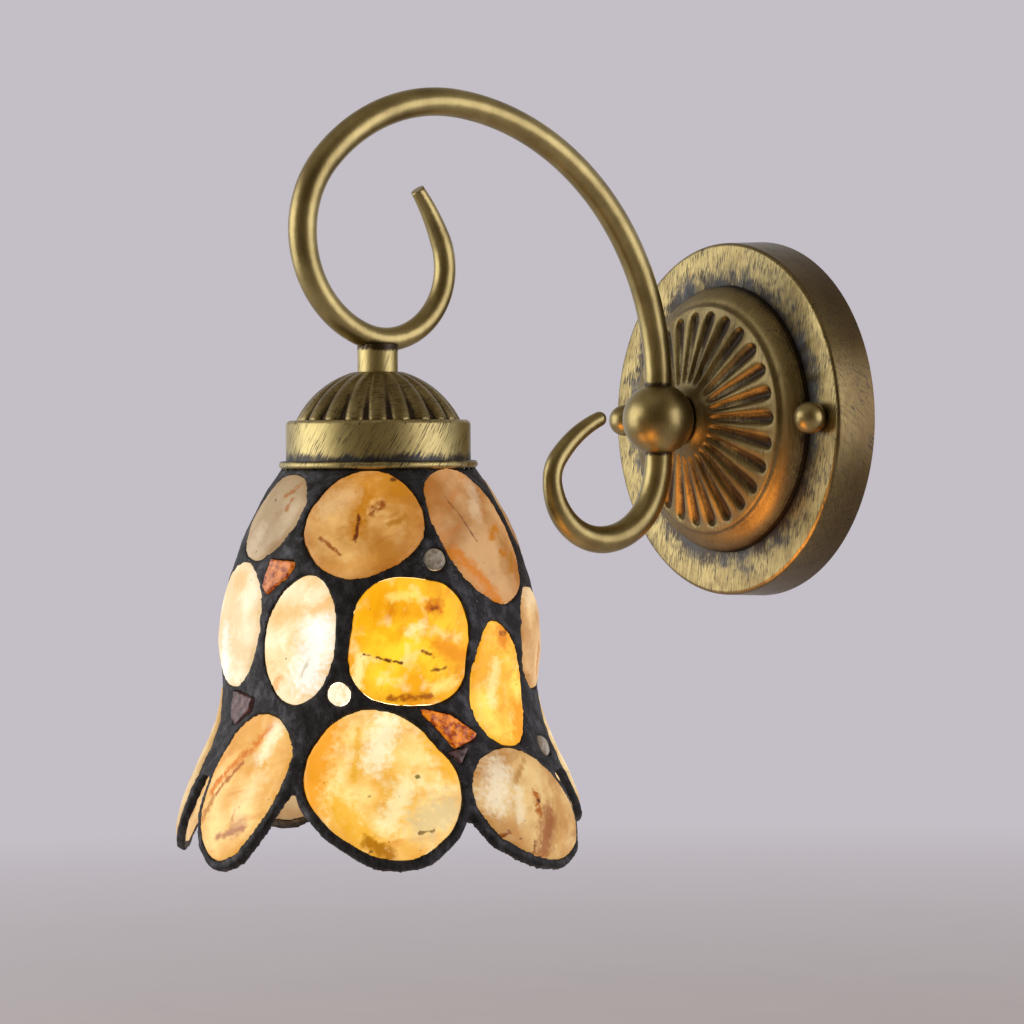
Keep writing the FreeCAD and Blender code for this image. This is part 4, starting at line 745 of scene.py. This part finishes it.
# the solder's top is lifted to meet the bead of the band
solderWork = {"voxel": 0.85, "smoothing": 2, "lumps": ((8.0, 0.5, 3.0), (3.0, 0.18, 8.0)), "lift": 0.25,
              "liftBelow": 1.2, "liftOver": 1.0}
shadeSolder = remeshed("shade_frame", solderWork["voxel"], solderWork["smoothing"])
shapeShadePiece(shadeSolder, shadeWork["outline"], solderWork["lumps"])
for vertex in shadeSolder.data.vertices:
    aboveBorder = vertex.co.z - shadeHigh.z + solderWork["liftBelow"] * mm
    vertex.co.z += solderWork["lift"] * mm * fade(aboveBorder, solderWork["liftOver"] * mm)
dress(shadeSolder, "shade_frame", plainFor["solder"], 60)
print("solder shaped")


# how far each point lies below the proudest point of its ring, in metres; a ring is half a millimetre wide
def sunkBelowRing(piece, ringOf, riseOf):
    ringWide = 0.5 * mm
    points = [(round(ringOf(vertex.co) / ringWide), riseOf(vertex.co)) for vertex in piece.data.vertices]
    proudest = {}
    for ring, rise in points:
        for near in (ring - 1, ring, ring + 1):
            proudest[near] = max(proudest.get(near, rise), rise)
    return [proudest[ring] - rise for ring, rise in points]


# the hollow's share of depth is 0 on ridges and 1 in grooves; power keeps middle tones on the ridges' side
def paintHollows(piece, ringOf, riseOf, work):
    sunk = sunkBelowRing(piece, ringOf, riseOf)
    hollows = [min(drop / (work["depth"] * mm), 1.0) ** work["power"] for drop in sunk]
    paint(piece, "hollow", hollows)
    return hollows


# castings: grooves and lobes softened as the mould leaves them. Sizes are in millimetres, and flat is the
# share of depth that belongs to a rib
rosetteWork = {
    "voxel": 0.48, "smoothing": 9, "depth": 2.1, "power": 1.8, "flutes": 26, "inner": 14.6, "innerOver": 3,
    "outer": 40.0, "outerOver": 4, "ribDrop": 2.6, "ribRound": 1.7, "flat": 0.7, "backing": 1.2,
    "backingFrom": 13, "backingTo": 42,
}


def reachOf(point):
    return math.hypot(point.x, point.z)


def riseFromWall(point):
    return -point.y


# the hidden back is thicker than in the frame, so that the thin floor of a flute stays whole
def thickenBack(piece):
    work = rosetteWork
    behind = [vertex.normal.y > 0.2 for vertex in piece.data.vertices]
    for vertex, isBehind in zip(piece.data.vertices, behind):
        if isBehind and work["backingFrom"] * mm < reachOf(vertex.co) < work["backingTo"] * mm:
            vertex.co.y += work["backing"] * mm


# the ribs between the flutes are round: each falls away from its middle line towards the flute on either side
def roundRibs(piece):
    work = rosetteWork
    for vertex, drop in zip(piece.data.vertices, sunkBelowRing(piece, reachOf, riseFromWall)):
        reach = reachOf(vertex.co)
        fadeIn = fade(reach - work["inner"] * mm, work["innerOver"] * mm)
        fadeOut = fade(work["outer"] * mm - reach, work["outerOver"] * mm)
        sunk = drop / (work["depth"] * mm)
        turn = math.atan2(vertex.co.z, vertex.co.x) * work["flutes"] / (2 * math.pi)
        fromRib = 1.0 - 2.0 * abs(turn - round(turn))
        if sunk < work["flat"]:
            left = (1.0 - max(sunk, 0.0) / work["flat"]) ** 0.5
            vertex.co.y += work["ribDrop"] * mm * fromRib ** work["ribRound"] * fadeIn * fadeOut * left


rosette = remeshed("rosette", rosetteWork["voxel"], rosetteWork["smoothing"], thickenBack, roundRibs)
paintHollows(rosette, reachOf, riseFromWall, rosetteWork)
dress(rosette, "rosette", brassFor["rosette"], 70)

# the dome's hollows are found by the way over it from its top, and its creases are pushed in
domeWork = {"voxel": 0.42, "smoothing": 2, "depth": 1.1, "power": 1.5, "crease": 0.8}
dome = remeshed("cap_dome", domeWork["voxel"], domeWork["smoothing"])
domeLow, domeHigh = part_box("cap_dome")
domeWide, domeTall = (domeHigh.x - domeLow.x) / 2, domeHigh.z - domeLow.z
domeRound = (domeWide ** 2 + domeTall ** 2) / (2 * domeTall)
domeMiddle = Vector((shadeX, shadeY, domeHigh.z - domeRound))
straightUp = Vector((0, 0, 1))


def wayFromTop(point):
    return (point - domeMiddle).angle(straightUp) * domeRound


def riseFromMiddle(point):
    return (point - domeMiddle).length


creases = paintHollows(dome, wayFromTop, riseFromMiddle, domeWork)
outside = [vertex.normal.dot((vertex.co - domeMiddle).normalized()) > 0.3 for vertex in dome.data.vertices]
for vertex, crease, isOutside in zip(dome.data.vertices, creases, outside):
    if isOutside:
        vertex.co -= (vertex.co - domeMiddle).normalized() * (domeWork["crease"] * crease * mm)
dress(dome, "cap_dome", brassFor["cap_dome"], 50)
print("castings shaped")

for nodeName in sorted(nodes):
    if nodeName in stoneFor or nodeName in ("shade_frame", "rosette", "cap_dome"):
        continue
    finish = brassFor.get(nodeName) or plainFor[slotOf[nodeName]]
    dress(mergedCopy(nodeName), nodeName, finish, 32, flatFaces=True)
print("turned and bent pieces finished")


# floor, light and camera

view = {"place": (1.0432, -0.8627, -0.0079), "azimuth": 54.32, "down": 1.117, "roll": -0.4, "lens": 126.56}
azimuth, down, roll = (math.radians(view[key]) for key in ("azimuth", "down", "roll"))
backward = Vector((math.sin(azimuth) * math.cos(down), -math.cos(azimuth) * math.cos(down), math.sin(down)))
rightward = Vector((math.cos(azimuth), math.sin(azimuth), 0))
upward = backward.cross(rightward)

studio = {
    "wall": "#C4BEC6", "roomDark": 0.13, "roomBright": 0.68, "roomSides": 0.42, "warm": "#FFE2B4",
    "cool": "#FBFAFF", "floorLight": "#EAE6E9", "floorDark": "#E2DEE3", "floorMottle": 60.0,
    "floorDrop": 0.17, "floorRadius": 1.6, "floorClear": 0.5, "aim": (0, -0.11, 0),
    "lights": {
        "window": ((-0.75, -1.25, 0.20), 1.25, 11.5, "#FFFDFA"),
        "right_wall": ((1.10, 0.55, 0.15), 1.0, 6.5, "#FBF8FF"),
        "ceiling": ((0.15, -0.75, 1.25), 1.1, 0.5, "#FFFFFF"),
    },
}


# pale matt floor that fades out at its rim
def floorMaterial():
    material, shader, add, place = newMaterial("pale_floor")
    far = distanceFrom(add, place, (0, 0, 0), (1, 1, 0))
    mottle = grain(add, place, studio["floorMottle"])
    setInputs(shader, {
        "Base Color": add("Mix", {
            0: mottle, 6: studio["floorLight"], 7: studio["floorDark"]}, 2, data_type="RGBA"),
        "Alpha": add("MapRange", {0: far, 1: studio["floorClear"], 2: studio["floorRadius"], 3: 1.0, 4: 0.0}),
        "Roughness": 0.8})
    return material


floorShape = bmesh.new()
bmesh.ops.create_circle(floorShape, cap_ends=True, segments=96, radius=studio["floorRadius"])
bmesh.ops.translate(floorShape, verts=floorShape.verts, vec=(0, 0, cadBox[0][2] - studio["floorDrop"]))
floorMesh = bpy.data.meshes.new("floor")
floorShape.to_mesh(floorMesh)
floorShape.free()
floor = bpy.data.objects.new("floor", floorMesh)
bpy.context.scene.collection.objects.link(floor)
floorMesh.materials.append(floorMaterial())

# the room: dark behind the camera, so that round metal shows a dark stripe between two bright ones
world = bpy.data.worlds.new("studio")
bpy.context.scene.world = world
world.use_nodes = True
add = partial(addNode, world.node_tree)
look = add("TexCoord", output="Generated")
facing = add("VectorMath", {0: look, 1: tuple(backward)}, "Value", operation="DOT_PRODUCT")
steep = add("Math", {0: add("SeparateXYZ", {0: look}, "Z")}, operation="ABSOLUTE")
dimmed = add("MapRange", {0: facing, 1: 0.25, 2: 0.90, 3: 1.0, 4: studio["roomDark"] / studio["roomBright"]})
level = add("MapRange", {0: steep, 1: 0.1, 2: 0.9, 3: 1.0, 4: studio["roomSides"]})
bright = add("Math", {0: dimmed, 1: level}, operation="MULTIPLY")
bright = add("Math", {0: bright, 1: studio["roomBright"]}, operation="MULTIPLY")
warmth = add("MapRange", {0: bright, 1: 0.1, 2: 0.6})
tint = add("Mix", {0: warmth, 6: studio["warm"], 7: studio["cool"]}, 2, data_type="RGBA")
grey = add("CombineXYZ", {"X": bright, "Y": bright, "Z": bright})
room = add("Mix", {0: 1.0, 6: tint, 7: grey}, 2, data_type="RGBA", blend_type="MULTIPLY")
seen = add("LightPath", output="Is Camera Ray")
backdrop = add("Mix", {0: seen, 6: room, 7: studio["wall"]}, 2, data_type="RGBA")
setInputs(world.node_tree.nodes["Background"], {"Color": backdrop})


def lightAt(name, kind, place, power, colour):
    data = bpy.data.lights.new(name, kind)
    data.energy = power
    data.color = linear(colour)[:3]
    lamp = bpy.data.objects.new(name, data)
    lamp.location = place
    bpy.context.scene.collection.objects.link(lamp)
    return lamp


def areaLight(name, place, size, power, colour, aim):
    lamp = lightAt(name, "AREA", place, power, colour)
    lamp.data.size = size
    lamp.rotation_euler = (Vector(aim) - Vector(place)).to_track_quat("-Z", "Y").to_euler()
    return lamp


for name, (place, size, power, colour) in studio["lights"].items():
    areaLight(name, place, size, power, colour, studio["aim"])

# the lit lamp, which shines out below and warms the metal beside the shade
lampLight = lightAt("lamp_light", "POINT", (shadeX, shadeY, lampLow.z - 4 * mm), 0.2, "#FFB860")
lampLight.data.shadow_soft_size = 0.028

# warm light that comes through the slices on the wall side and falls on the ball, the scroll and the rosette
stoneGlow = {"out": 0.078, "height": -0.105, "size": 0.10, "power": 0.034, "colour": "#FFA444",
             "aim": (0, -0.02, -0.05), "spread": 75}
wallGlow = areaLight("light_through_stone", (shadeX, shadeY + stoneGlow["out"], stoneGlow["height"]),
                     stoneGlow["size"], stoneGlow["power"], stoneGlow["colour"], stoneGlow["aim"])
wallGlow.data.spread = math.radians(stoneGlow["spread"])
wallGlow.visible_camera = False

# the photograph's view: place in metres, angles in degrees, lens for a 36 mm wide sensor
rightRolled = rightward * math.cos(roll) + upward * math.sin(roll)
upRolled = upward * math.cos(roll) - rightward * math.sin(roll)
camera = bpy.data.objects.new("camera", bpy.data.cameras.new("camera"))
camera.data.lens = view["lens"]
camera.data.sensor_width = 36.0
turned = Matrix((rightRolled, upRolled, backward)).transposed().to_4x4()
camera.matrix_world = Matrix.Translation(view["place"]) @ turned
bpy.context.scene.collection.objects.link(camera)
bpy.context.scene.camera = camera
bpy.context.scene.view_settings.view_transform = "Standard"
print("scene set")
